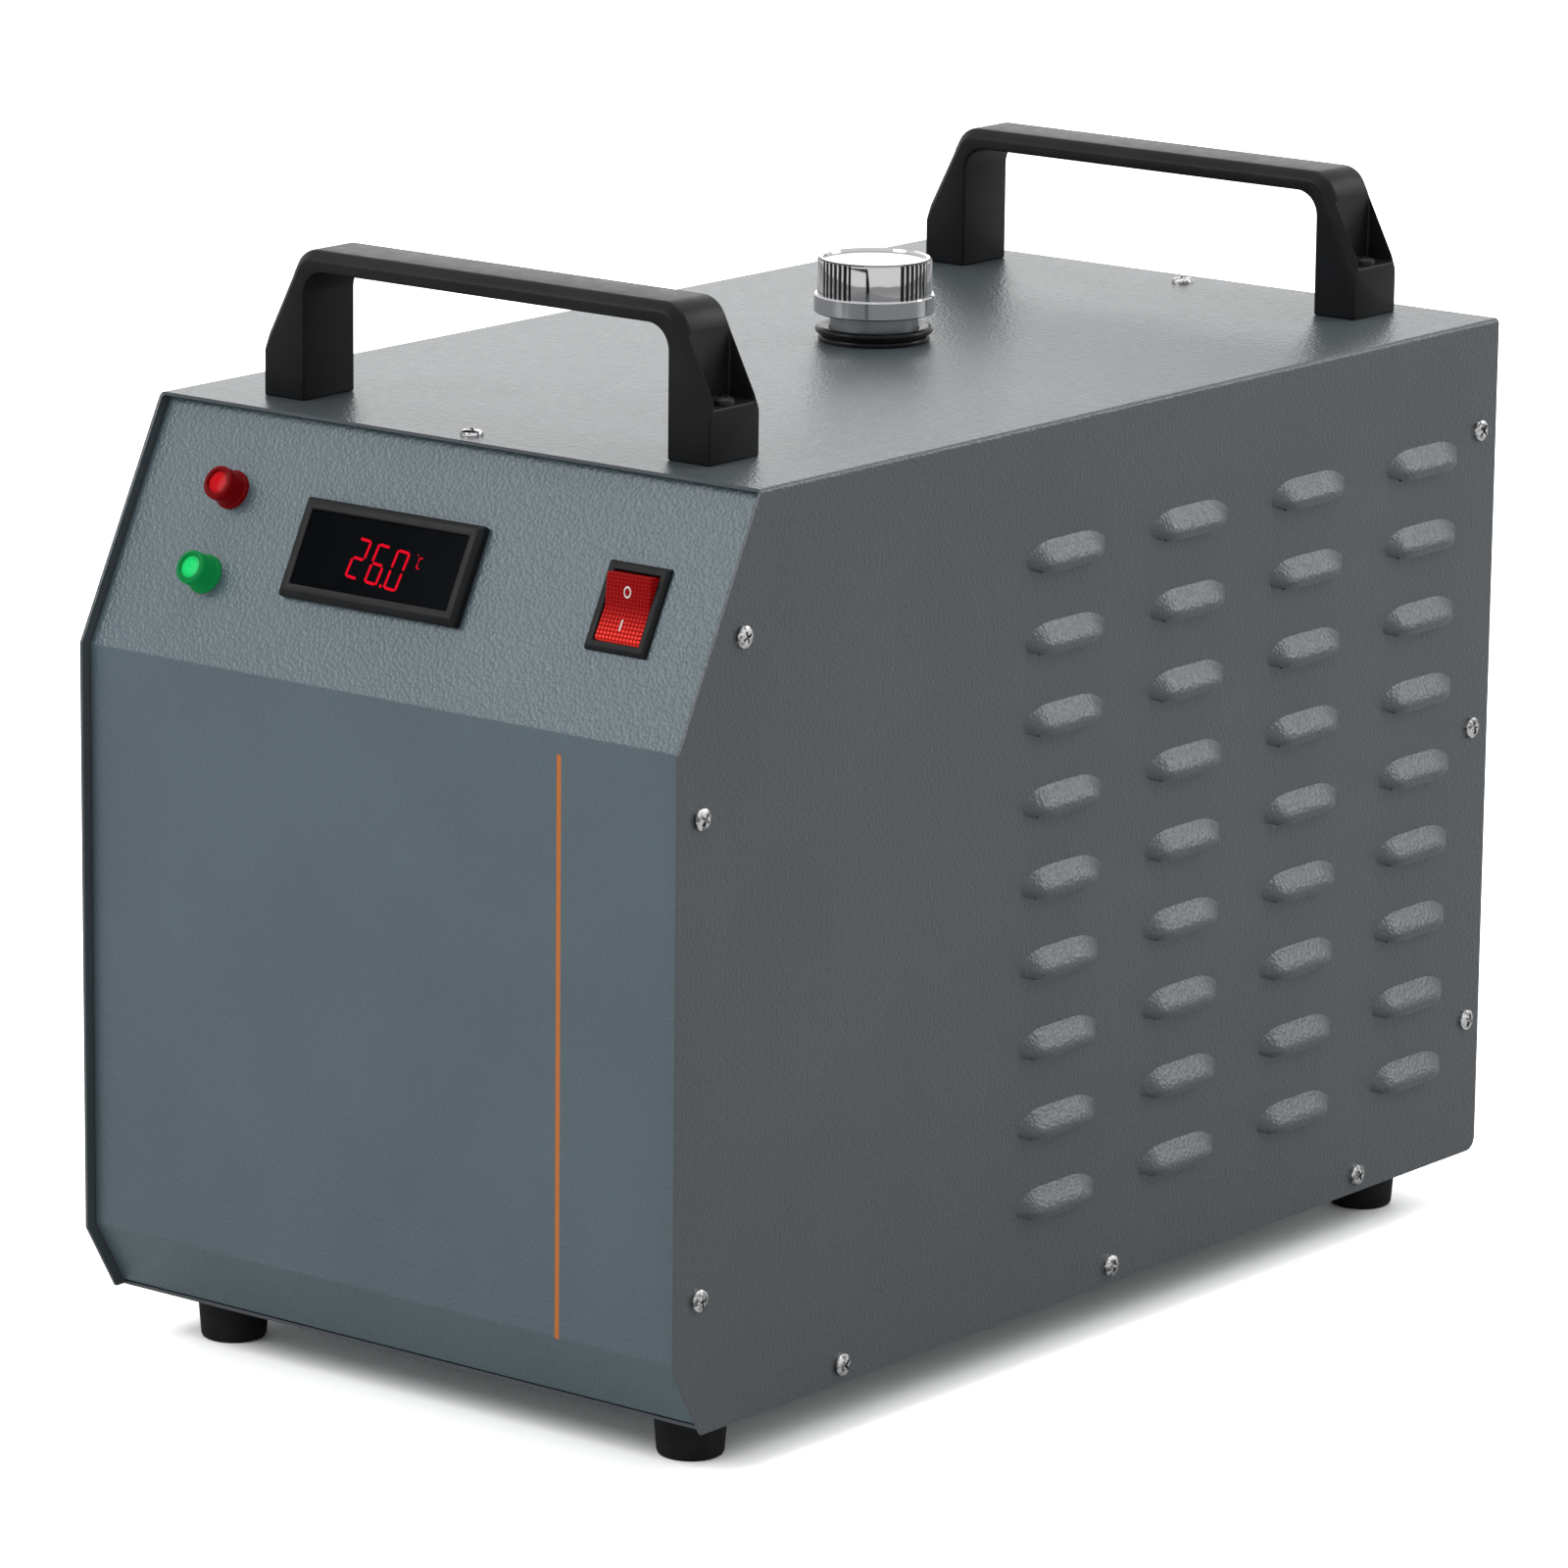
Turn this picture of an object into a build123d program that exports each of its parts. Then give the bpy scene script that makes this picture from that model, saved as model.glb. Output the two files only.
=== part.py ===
from build123d import *
from math import cos, hypot, radians, sin, sqrt
import os

# A bench-top recirculating chiller. Millimetres, +Z up, front towards -Y.
# The origin is on the floor, under the middle of the whole machine.

# Body over its folded cover
body_width = 270.0
body_depth = 481.4
body_height = 320.4
slope_run = 42.5
slope_drop = 83.2
chamfer_run = 14.5
chamfer_drop = 24.7
rear_corner_radius = 5.0

# Sheet metal
sheet = 1.2
fold_radius = 0.6
sheet_gap = 0.2
front_recess = 4.0
back_recess = 4.0
flange_depth = 20.0
lip_depth = 15.0
relief = 1.0
tray_flange = 14.0

# Rubber feet
foot_height = 19.7
foot_top_radius = 13.2
foot_bottom_radius = 11.7
foot_side_inset = 29.6
foot_front_inset = 45.2
foot_rear_inset = 32.4

# Louvres pressed into both sides of the cover
louvre_columns = 4
louvre_rows = 9
louvre_column_pitch = 73.4
louvre_row_pitch = 29.16
louvre_first_column = 212.9
louvre_lowest_slot = 34.6
louvre_length = 45.8
louvre_height = 10.8
louvre_lift = 4.9
louvre_foot_corner = 5.0
louvre_slope = 45.0
louvre_lance = 0.5

# Carrying handles
handle_length = 200.4
handle_depth = 27.0
handle_height = 53.5
handle_shift = -2.6
handle_leg = 18.3
handle_bar = 7.4
handle_end_height = 22.5
handle_end_slant = 16.0
handle_corner_radius = 10.0
handle_inner_radius = 9.0
handle_edge = 3.2
handle_wall = 2.8
handle_web = 7.0
handle_pocket_floor = 19.0
handle_front_place = 60.8
handle_rear_from_back = 40.9
handle_screw_radius = 2.5
handle_screw_clearance = 0.3

# Indicator lamps on the slope: from the body's left side, down the slope
red_lamp_from_left = 42.9
red_lamp_down = 29.8
green_lamp_from_left = 42.7
green_lamp_down = 60.9
lamp_radius = 6.2
lamp_reach = 9.6
lamp_barrel_radius = 4.6
lamp_barrel = 22.0
lamp_hole_clearance = 0.2

# Temperature display
display_spot = (-15.0, 45.9)
display_width = 80.0
display_height = 36.0
display_reach = 4.6
display_bevel = 1.6
display_rim = 4.5
window_sink = 0.9
window_thickness = 1.5
window_clearance = 0.2
display_case_width = 71.0
display_case_height = 29.0
display_case_depth = 26.0
case_clearance = 0.25

# Rocker switch
switch_from_right = 41.8
switch_down = 47.0
switch_width = 26.5
switch_height = 31.6
switch_bezel = 2.2
switch_opening_width = 19.8
switch_opening_height = 25.0
switch_wall = 1.4
switch_body_depth = 20.0
rocker_clearance = 0.35
rocker_tip = 10.0
rocker_pivot_depth = 0.5
rocker_reach = 4.7
rocker_dish = 2.4
rocker_keel = 8.0

# Filler on the cover
filler_from_middle = -11.6
filler_behind_front = 291.0
neck_radius = 16.2
neck_bore_radius = 12.5
neck_clearance = 1.0
gasket_radius = 21.6
gasket_height = 5.4
gasket_clearance = 0.3
cap_collar_radius = 22.1
cap_collar_bottom = 10.4
cap_collar = 6.8
cap_grip_radius = 20.95
cap_top = 30.6
cap_running_gap = 0.4
cap_crown = 2.6
liner_thickness = 2.0
liner_gap = 0.3

# Fan, shroud and radiator behind the grille
fan_size = 180.0
fan_depth = 50.0
fan_corner = 12.0
fan_bore_radius = 85.0
fan_center_height = 205.0
fan_boss_radius = 30.0
fan_boss = 10.0
fan_strut_width = 7.0
fan_shaft_radius = 4.0
fan_shaft_clearance = 0.05
fan_hub_radius = 31.0
fan_hub_gap = 1.0
fan_blades = 7
fan_tip_gap = 2.5
blade_chord = 46.0
blade_camber = 5.0
blade_angle = 32.0
blade_thickness = 2.0
blade_root_sink = 2.5
grille_rows = 11
grille_row_pitch = 14.0
grille_slot = 7.0
grille_radius = 80.0
grille_rib = 6.0
shroud_width = 204.0
shroud_height = 190.0
shroud_leg_width = 24.0
shroud_leg_place = 60.0
shroud_foot = 20.0
radiator_width = 200.0
radiator_height = 190.0
radiator_depth = 42.0
radiator_header = 16.0
radiator_tubes = 13
radiator_groove = 1.5
radiator_port_inset = 20.0

# Water tank
tank_from_left = 25.0
tank_from_right = 40.0
tank_end_place = 360.0
tank_depth = 145.0
tank_wall = 3.0
tank_neck_room = 18.0
tank_rest = 0.1
tank_bracket_depth = 60.0
tank_bracket_height = 30.0
tank_bracket_foot = 16.0
probe_reach = 8.0
probe_hex = 14.0
probe_from_middle = 60.0
probe_height = 60.0

# Pump, lying along the machine between the front panel and the tank
pump_from_middle = 10.0
pump_behind_front = 70.0
pump_axis_height = 50.0
pump_motor_radius = 31.0
pump_motor_length = 66.0
volute_radius = 38.0
volute_depth = 30.0
pump_nozzle_width = 18.0
pump_outlet_rise = 22.0
pump_outlet_reach = 52.0
pump_bracket_width = 50.0
pump_bracket_depth = 40.0
pump_bracket_hug = 6.0
saddle_gap = 0.1

# Water fittings through the back panel: from the body's side or middle, above its underside
outlet_from_right = 25.0
inlet_height = 45.0
drain_spot = (-30.0, 30.0)
tail_reach = 28.0
tail_flange_width = 20.0
tail_flange = 5.0
tail_root_radius = 4.8
tail_barb_radius = 5.5
tail_barb = 10.0
tail_tip_radius = 4.4
tail_bore_radius = 3.4
tail_thread_radius = 7.0
tail_thread = 14.0
tail_hole_clearance = 0.3
drain_neck_radius = 6.0
drain_neck = 14.0
drain_bore_radius = 4.0
drain_plug_radius = 9.0
drain_plug_length = 15.0
drain_plug_end = 3.0
drain_plug_gap = 0.3
drain_plug_sides = 12

# Flow switch in the return line
flow_switch_width = 30.0
flow_switch_length = 36.0
flow_switch_height = 34.0

# Inner hoses
hose_radius = 6.5
hose_bend = 30.0

# Sockets and electrics
power_spot = (45.0, 62.0)
power_width = 30.0
power_height = 22.5
power_flange_width = 50.0
power_flange = 3.0
power_recess_width = 24.0
power_recess_height = 16.6
power_recess_depth = 16.0
power_body_depth = 24.0
power_blade_width = 2.0
power_blade_height = 4.0
power_blade_spacing = 7.0
power_blade_offset = 2.0
power_blade_reach = 12.0
alarm_spot = (3.0, 62.0)
alarm_radius = 8.0
alarm_reach = 10.0
alarm_flange_width = 21.0
alarm_flange = 2.5
alarm_recess_radius = 6.4
alarm_recess_depth = 9.0
alarm_pin_radius = 0.8
alarm_pin_place = 3.8
alarm_pin_reach = 7.0
alarm_inside = 10.0
supply_left_of_middle = 80.0
supply_behind_front = 125.0
supply_width = 90.0
supply_depth = 110.0
supply_height = 38.0
supply_grooves = 8
supply_groove_pitch = 10.0
supply_groove = 3.0
board_width = 80.0
board_depth = 90.0
board_thickness = 1.6
standoff = 10.0
standoff_width = 5.5
standoff_inset = 5.0
relay_width = 16.0
relay_depth = 20.0
relay_height = 15.0

# Worked-out places
rear_reach = tail_reach - back_recess
body_front = -(body_depth + rear_reach) / 2
body_back = body_front + body_depth
body_bottom = foot_height
body_top = body_bottom + body_height
body_half = body_width / 2
inner_half = body_half - sheet - sheet_gap
tray_top = body_bottom + sheet
back_face = body_back - back_recess
back_inside = back_face - sheet
seat = tray_top + sheet_gap

red_lamp_spot = (red_lamp_from_left - body_half, red_lamp_down)
green_lamp_spot = (green_lamp_from_left - body_half, green_lamp_down)
switch_spot = (body_half - switch_from_right, switch_down)
tank_left = tank_from_left - body_half
tank_right = body_half - tank_from_right
outlet_from_middle = body_half - outlet_from_right

top_front = (body_front + slope_run, body_top)
upper_fold = (body_front, body_top - slope_drop)
lower_fold = (body_front, body_bottom + chamfer_drop)
bottom_front = (body_front + chamfer_run, body_bottom)
bottom_back = (body_back, body_bottom)
top_back = (body_back, body_top)
front_edge = [top_front, upper_fold, lower_fold, bottom_front]

slope_length = hypot(slope_run, slope_drop)
slope_normal = Vector(0, -slope_drop, slope_run) / slope_length
slope_origin = Vector(0, *top_front) - slope_normal * front_recess
slope_plane = Plane(origin=slope_origin, x_dir=(1, 0, 0), z_dir=slope_normal)

os.makedirs("parts", exist_ok=True)


# Helpers


def keep(builder, name):
    """Label a finished piece and write its file."""
    builder.part.label = name
    export_step(builder.part, f"parts/{name}.step")


def behind(distance):
    """Y of a point that lies this far behind the front face."""
    return body_front + distance


def above(distance):
    """Z of a point this far above the body's underside."""
    return body_bottom + distance


def facing_front(y):
    """An upright plane at y that looks forward, with X to the right and Z up."""
    return Plane.XZ.offset(-y)


def facing_back(y):
    """An upright plane at y that looks backward, with its own X running to -X."""
    return Plane(origin=(0, y, 0), x_dir=(-1, 0, 0), z_dir=(0, 1, 0))


def on_slope(spot):
    """Place on the slope's plane of a point given from the middle and down the slope."""
    return (spot[0], -spot[1])


def inset(points, distance):
    """An open outline moved sideways, to the left of its run, with mitred corners."""
    normals = []
    for start, end in zip(points, points[1:]):
        run = Vector(*end) - Vector(*start)
        normals.append(Vector(-run.Y, run.X).normalized())
    moved = []
    for index, point in enumerate(points):
        before = normals[max(index - 1, 0)]
        after = normals[min(index, len(normals) - 1)]
        step = (before + after) * (distance / (1 + before.dot(after)))
        spot = Vector(*point) + step
        moved.append((spot.X, spot.Y))
    return moved


def at_height(start, end, height):
    """The point at a height on the line through two points."""
    share = (height - start[1]) / (end[1] - start[1])
    return (start[0] + share * (end[0] - start[0]), height)


def bent_sheet(points):
    """The section of a sheet folded along an outline, its thickness to the left."""
    with BuildSketch() as section:
        with BuildLine():
            outer = FilletPolyline(*points, radius=fold_radius + sheet)
            inner = FilletPolyline(*inset(points, sheet), radius=fold_radius)
            Line(outer @ 0, inner @ 0)
            Line(outer @ 1, inner @ 1)
        make_face()
    return section.sketch


def turned(*outline):
    """A section to be turned, from its corners as radius and height."""
    return Polygon(*outline, align=None)


def hexagon(width):
    """Radius over the corners of a hexagon with this width across its flats."""
    return width / sqrt(3)


# Cover: one sheet folded into an upside-down U, cut to the side outline


def louvre_form(wall, low, base, lift):
    """A louvre's outer form, or with a wall thickness the hollow inside it."""
    with BuildPart() as form:
        with BuildSketch(Plane.XY.offset(base)) as foot:
            Rectangle(louvre_length - 2 * wall, 2 * (louvre_height - wall))
            chamfer(foot.vertices(), length=louvre_foot_corner - wall)
        extrude(amount=lift - base, taper=louvre_slope)
        split(bisect_by=Plane.XZ.offset(-low), keep=Keep.BOTTOM)
    return form.part


louvre_bump = louvre_form(0, 0, 0, louvre_lift)
louvre_hollow = louvre_form(sheet, -louvre_lance, -sheet, louvre_lift - sheet)
louvre_middle_column = behind(louvre_first_column + louvre_column_pitch * (louvre_columns - 1) / 2)
louvre_middle_row = above(louvre_lowest_slot + louvre_row_pitch * (louvre_rows - 1) / 2)
right_side = Plane(
    origin=(body_width / 2, louvre_middle_column, louvre_middle_row),
    x_dir=(0, 1, 0),
    z_dir=(1, 0, 0),
)

handle_places = [behind(handle_front_place), behind(body_depth - handle_rear_from_back)]
handle_screw_from_middle = handle_length / 2 - (handle_leg - handle_web) / 2
handle_screw_spots = [
    (handle_shift + side * handle_screw_from_middle, place + handle_depth / 2)
    for place in handle_places
    for side in (-1, 1)
]
filler_spot = (filler_from_middle, behind(filler_behind_front))

with BuildPart(right_side) as louvre_bumps:
    with GridLocations(louvre_column_pitch, louvre_row_pitch, louvre_columns, louvre_rows):
        add(louvre_bump)

with BuildPart(right_side) as louvre_hollows:
    with GridLocations(louvre_column_pitch, louvre_row_pitch, louvre_columns, louvre_rows):
        add(louvre_hollow)

with BuildPart() as cover:
    with BuildSketch(Plane.YZ):
        with BuildLine():
            Polyline(*front_edge, bottom_back, top_back, close=True)
        make_face()
    extrude(amount=body_width / 2, both=True)
    fillet(cover.edges().filter_by(Axis.Y).group_by(Axis.Z)[-1], radius=fold_radius + sheet)
    fillet(
        cover.edges().filter_by(Axis.X).group_by(Axis.Z)[0].sort_by(Axis.Y)[-1],
        radius=rear_corner_radius,
    )
    with BuildSketch(Plane.XZ) as cover_inside:
        with Locations((0, body_top - sheet)):
            Rectangle(body_width - 2 * sheet, 2 * body_height, align=(Align.CENTER, Align.MAX))
        fillet(cover_inside.vertices().group_by(Axis.Y)[-1], radius=fold_radius)
    extrude(amount=body_depth, both=True, mode=Mode.SUBTRACT)
    with BuildSketch(Plane.XY.offset(body_top)):
        with Locations(*handle_screw_spots):
            Circle(handle_screw_radius + handle_screw_clearance)
        with Locations(filler_spot):
            Circle(neck_radius + neck_clearance)
    extrude(amount=-2 * sheet, mode=Mode.SUBTRACT)
    add(louvre_bumps.part)
    mirror(louvre_bumps.part, about=Plane.YZ)
    add(louvre_hollows.part, mode=Mode.SUBTRACT)
    mirror(louvre_hollows.part, about=Plane.YZ, mode=Mode.SUBTRACT)
keep(cover, "cover")


# Front panel: one sheet folded into slope, face and chamfer, with lips and side flanges

front_line = inset(front_edge, front_recess)
lip_top = body_top - sheet - sheet_gap
slope_top = at_height(front_line[0], front_line[1], lip_top)
chamfer_bottom = at_height(front_line[2], front_line[3], seat)
front_outline = [
    (slope_top[0] + lip_depth, lip_top),
    slope_top,
    front_line[1],
    front_line[2],
    chamfer_bottom,
    (chamfer_bottom[0] + lip_depth, seat),
]


def flange(outer_ends, inner_ends):
    """A side flange on one run of the sheet, cut back at both ends for the fold."""
    run = (Vector(*outer_ends[1]) - Vector(*outer_ends[0])).normalized() * relief
    corners = [
        Vector(*outer_ends[0]) + run,
        Vector(*outer_ends[1]) - run,
        Vector(*inner_ends[1]) - run,
        Vector(*inner_ends[0]) + run,
    ]
    return Polygon(*[(corner.X, corner.Y) for corner in corners], align=None)


front_runs = front_outline[1:5]
front_flange_line = inset(front_runs, flange_depth)

with BuildPart() as front_panel:
    with BuildSketch(Plane.YZ):
        add(bent_sheet(front_outline))
    extrude(amount=inner_half, both=True)
    with BuildSketch(Plane.YZ.offset(inner_half)):
        for index in range(len(front_runs) - 1):
            add(flange(front_runs[index : index + 2], front_flange_line[index : index + 2]))
    flange_solids = extrude(amount=-sheet)
    mirror(flange_solids, about=Plane.YZ)
    with BuildSketch(slope_plane):
        with Locations(on_slope(display_spot)):
            Rectangle(display_case_width + 2 * case_clearance, display_case_height + 2 * case_clearance)
        with Locations(on_slope(switch_spot)):
            Rectangle(
                switch_opening_width + 2 * (switch_wall + case_clearance),
                switch_opening_height + 2 * (switch_wall + case_clearance),
            )
        with Locations(on_slope(red_lamp_spot), on_slope(green_lamp_spot)):
            Circle(lamp_barrel_radius + lamp_hole_clearance)
    extrude(amount=-2 * sheet, mode=Mode.SUBTRACT)
keep(front_panel, "front_panel")

# Base tray: floor with two upturned flanges

tray_front = chamfer_bottom[0]
tray_back = back_inside - sheet_gap
tray_flange_front = tray_front + lip_depth + flange_depth
tray_flange_back = back_face - flange_depth - relief

with BuildPart() as base_tray:
    with BuildSketch(Plane.XY.offset(body_bottom)):
        with Locations((0, (tray_front + tray_back) / 2)):
            Rectangle(2 * inner_half, tray_back - tray_front)
    extrude(amount=sheet)
    with BuildSketch(facing_front(tray_flange_back)):
        add(
            bent_sheet(
                [
                    (-inner_half, body_bottom + tray_flange),
                    (-inner_half, body_bottom),
                    (inner_half, body_bottom),
                    (inner_half, body_bottom + tray_flange),
                ]
            )
        )
    extrude(amount=tray_flange_back - tray_flange_front)
keep(base_tray, "base_tray")

# Back panel: sheet with lips, side flanges, a punched fan grille and the fittings' holes

back_outline = [
    (back_face - lip_depth, seat),
    (back_face, seat),
    (back_face, lip_top),
    (back_face - lip_depth, lip_top),
]
fan_spot = (0, above(fan_center_height))
outlet_spot = (outlet_from_middle, above(pump_axis_height + pump_outlet_rise))
inlet_spot = ((radiator_header - radiator_width) / 2, above(inlet_height))
drain_place = (drain_spot[0], above(drain_spot[1]))


def grille_slots():
    """Upright slots' lengths and places that fill a round field, with a rib in the middle."""
    slots = []
    for row in range(grille_rows):
        up = (row - (grille_rows - 1) / 2) * grille_row_pitch
        half = sqrt(grille_radius**2 - up**2)
        length = half - grille_rib / 2
        for side in (-1, 1):
            slots.append((length, side * (grille_rib + length) / 2, fan_spot[1] + up))
    return slots


with BuildPart() as back_panel:
    with BuildSketch(Plane.YZ):
        add(bent_sheet(back_outline))
    extrude(amount=inner_half, both=True)
    back_runs = [back_outline[1], back_outline[2]]
    with BuildSketch(Plane.YZ.offset(inner_half)):
        add(flange(back_runs, inset(back_runs, flange_depth)))
    back_flange = extrude(amount=-sheet)
    mirror(back_flange, about=Plane.YZ)
    with BuildSketch(facing_front(back_inside)):
        for length, across, up in grille_slots():
            with Locations((across, up)):
                Rectangle(length, grille_slot)
        with Locations(outlet_spot, inlet_spot, drain_place):
            Circle(tail_thread_radius + tail_hole_clearance)
        with Locations((power_spot[0], above(power_spot[1]))):
            Rectangle(power_width + 2 * case_clearance, power_height + 2 * case_clearance)
        with Locations((alarm_spot[0], above(alarm_spot[1]))):
            Circle(alarm_radius + tail_hole_clearance)
    extrude(amount=-2 * sheet, mode=Mode.SUBTRACT)
keep(back_panel, "back_panel")

# Feet

with BuildPart() as foot:
    with BuildSketch(Plane.XZ):
        turned(
            (0, 0),
            (foot_bottom_radius, 0),
            (foot_top_radius, foot_height),
            (0, foot_height),
        )
    revolve(axis=Axis.Z)

foot_across = body_width / 2 - foot_side_inset
with BuildPart() as feet:
    with Locations(
        *[
            (side * foot_across, place)
            for side in (-1, 1)
            for place in (behind(foot_front_inset), body_back - foot_rear_inset)
        ]
    ):
        add(foot.part)
keep(feet, "feet")

# Handles: arched bars on two legs, hollow at the outer ends for their screws

handle_end = handle_length / 2
pocket_wall = handle_end - handle_leg + handle_web
bar_underside = handle_height - handle_bar

with BuildPart() as handle_form:
    with BuildSketch(Plane.XZ) as handle_side:
        Polygon(
            (-handle_end, 0),
            (-handle_end, handle_end_height),
            (-handle_end + handle_end_slant, handle_height),
            (handle_end - handle_end_slant, handle_height),
            (handle_end, handle_end_height),
            (handle_end, 0),
            align=None,
        )
        fillet(handle_side.vertices().group_by(Axis.Y)[-1], radius=handle_corner_radius)
    extrude(amount=handle_depth / 2, both=True)
    upper = handle_form.edges().filter_by(lambda edge: edge.center().Z > handle_end_height)
    chamfer(upper.group_by(Axis.Y)[0] + upper.group_by(Axis.Y)[-1], length=handle_edge)
    with BuildSketch(Plane.XZ) as handle_window:
        Rectangle(
            handle_length - 2 * handle_leg,
            bar_underside,
            align=(Align.CENTER, Align.MIN),
        )
        fillet(handle_window.vertices().group_by(Axis.Y)[-1], radius=handle_inner_radius)
    extrude(amount=handle_depth, both=True, mode=Mode.SUBTRACT)
    with BuildSketch(Plane.XZ):
        for side in (-1, 1):
            with Locations((side * (pocket_wall + handle_leg / 2), handle_pocket_floor)):
                Rectangle(
                    handle_leg,
                    bar_underside - handle_pocket_floor,
                    align=(Align.CENTER, Align.MIN),
                )
    extrude(amount=handle_depth / 2 - handle_wall, both=True, mode=Mode.SUBTRACT)
    with BuildSketch():
        with Locations((-handle_screw_from_middle, 0), (handle_screw_from_middle, 0)):
            Circle(handle_screw_radius + handle_screw_clearance)
    extrude(amount=handle_pocket_floor, mode=Mode.SUBTRACT)


def handle_plane(place):
    """Where a handle stands on the cover, its front face this far behind the front."""
    return Plane(origin=(handle_shift, place + handle_depth / 2, body_top))


with BuildPart(handle_plane(handle_places[0])) as handle_front:
    add(handle_form.part)
keep(handle_front, "handle_front")

with BuildPart(handle_plane(handle_places[1])) as handle_rear:
    add(handle_form.part)
keep(handle_rear, "handle_rear")

# Indicator lamps

for lamp, spot in (("red", red_lamp_spot), ("green", green_lamp_spot)):
    with BuildPart(slope_plane) as lens:
        with Locations(on_slope(spot)):
            Cylinder(lamp_radius, lamp_reach, align=(Align.CENTER, Align.CENTER, Align.MIN))
    keep(lens, f"{lamp}_lamp_lens")
    with BuildPart(slope_plane) as lamp_body:
        with Locations(on_slope(spot)):
            Cylinder(
                lamp_barrel_radius,
                lamp_barrel,
                align=(Align.CENTER, Align.CENTER, Align.MAX),
            )
    keep(lamp_body, f"{lamp}_lamp_body")

# Temperature display: bevelled frame with its case, dark window, meter board

with BuildPart() as display_form:
    with BuildSketch():
        Rectangle(display_width, display_height)
    extrude(amount=display_reach)
    chamfer(display_form.faces().sort_by(Axis.Z)[-1].edges(), length=display_bevel)
    with BuildSketch():
        Rectangle(display_case_width, display_case_height)
    extrude(amount=-display_case_depth)
    with BuildSketch(Plane.XY.offset(display_reach)):
        Rectangle(display_width - 2 * display_rim, display_height - 2 * display_rim)
    extrude(amount=-(display_reach + display_case_depth - display_rim / 2), mode=Mode.SUBTRACT)

window_width = display_width - 2 * (display_rim + window_clearance)
window_height = display_height - 2 * (display_rim + window_clearance)
window_face = display_reach - window_sink

with BuildPart(slope_plane) as display_frame:
    with Locations(on_slope(display_spot)):
        add(display_form.part)
keep(display_frame, "display_frame")

with BuildPart(slope_plane.offset(window_face)) as display_window:
    with Locations(on_slope(display_spot)):
        Box(
            window_width,
            window_height,
            window_thickness,
            align=(Align.CENTER, Align.CENTER, Align.MAX),
        )
keep(display_window, "display_window")

with BuildPart(slope_plane.offset(window_face - window_thickness)) as display_board:
    with Locations(on_slope(display_spot)):
        Box(
            window_width,
            window_height,
            board_thickness,
            align=(Align.CENTER, Align.CENTER, Align.MAX),
        )
keep(display_board, "display_board")

# Rocker switch: frame with its body, and the rocker on a pivot close under the panel

with BuildPart() as switch_form:
    with BuildSketch():
        Rectangle(switch_width, switch_height)
    extrude(amount=switch_bezel)
    chamfer(switch_form.faces().sort_by(Axis.Z)[-1].edges(), length=switch_bezel / 2)
    with BuildSketch():
        Rectangle(switch_opening_width + 2 * switch_wall, switch_opening_height + 2 * switch_wall)
    extrude(amount=-switch_body_depth)
    with BuildSketch(Plane.XY.offset(switch_bezel)):
        Rectangle(switch_opening_width, switch_opening_height)
    extrude(amount=-(switch_bezel + switch_body_depth - switch_wall), mode=Mode.SUBTRACT)

with BuildPart(slope_plane) as switch_frame:
    with Locations(on_slope(switch_spot)):
        add(switch_form.part)
keep(switch_frame, "switch_frame")

rocker_radius = switch_opening_height / 2 - rocker_clearance

with BuildPart() as rocker_form:
    with BuildSketch(Plane.YZ):
        Circle(rocker_radius)
        Polygon(
            (-2 * rocker_radius, rocker_reach + rocker_dish),
            (0, rocker_reach - rocker_dish),
            (2 * rocker_radius, rocker_reach + rocker_dish),
            (0, 4 * rocker_radius),
            align=None,
            mode=Mode.SUBTRACT,
        )
        with Locations((0, -rocker_keel)):
            Rectangle(
                2 * rocker_radius,
                rocker_radius,
                align=(Align.CENTER, Align.MAX),
                mode=Mode.SUBTRACT,
            )
    extrude(amount=switch_opening_width / 2 - rocker_clearance, both=True)

with BuildPart(slope_plane) as switch_rocker:
    with Locations(Location((*on_slope(switch_spot), -rocker_pivot_depth), (rocker_tip, 0, 0))):
        add(rocker_form.part)
keep(switch_rocker, "switch_rocker")

# Water tank with its neck, brackets and temperature probe

tank_width = tank_right - tank_left
tank_middle = (tank_left + tank_right) / 2
tank_back = behind(tank_end_place)
tank_front = tank_back - tank_depth
tank_bottom = tray_top + tank_rest
tank_top = body_top - sheet - tank_neck_room
tank_plane = Plane(origin=(tank_middle, tank_front + tank_depth / 2, tank_bottom))
pump_height = above(pump_axis_height)
fan_front = back_inside - fan_depth
radiator_back = fan_front - sheet
radiator_front = radiator_back - radiator_depth
radiator_bottom = fan_spot[1] - radiator_height / 2
radiator_middle = (radiator_front + radiator_back) / 2
shroud_bottom = fan_spot[1] - shroud_height / 2
return_spot = (radiator_width / 2 - radiator_port_inset, radiator_bottom + radiator_port_inset)

with BuildPart(tank_plane) as tank:
    with BuildSketch(tank_plane):
        Rectangle(tank_width, tank_depth)
    extrude(amount=tank_top - tank_bottom)
    with BuildSketch(tank_plane.offset(tank_wall)):
        Rectangle(tank_width - 2 * tank_wall, tank_depth - 2 * tank_wall)
    extrude(amount=tank_top - tank_bottom - 2 * tank_wall, mode=Mode.SUBTRACT)
    with BuildSketch(Plane.XY.offset(tank_top)):
        with Locations(filler_spot):
            Circle(neck_bore_radius)
    extrude(amount=-2 * tank_wall, mode=Mode.SUBTRACT)
keep(tank, "tank")

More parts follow.
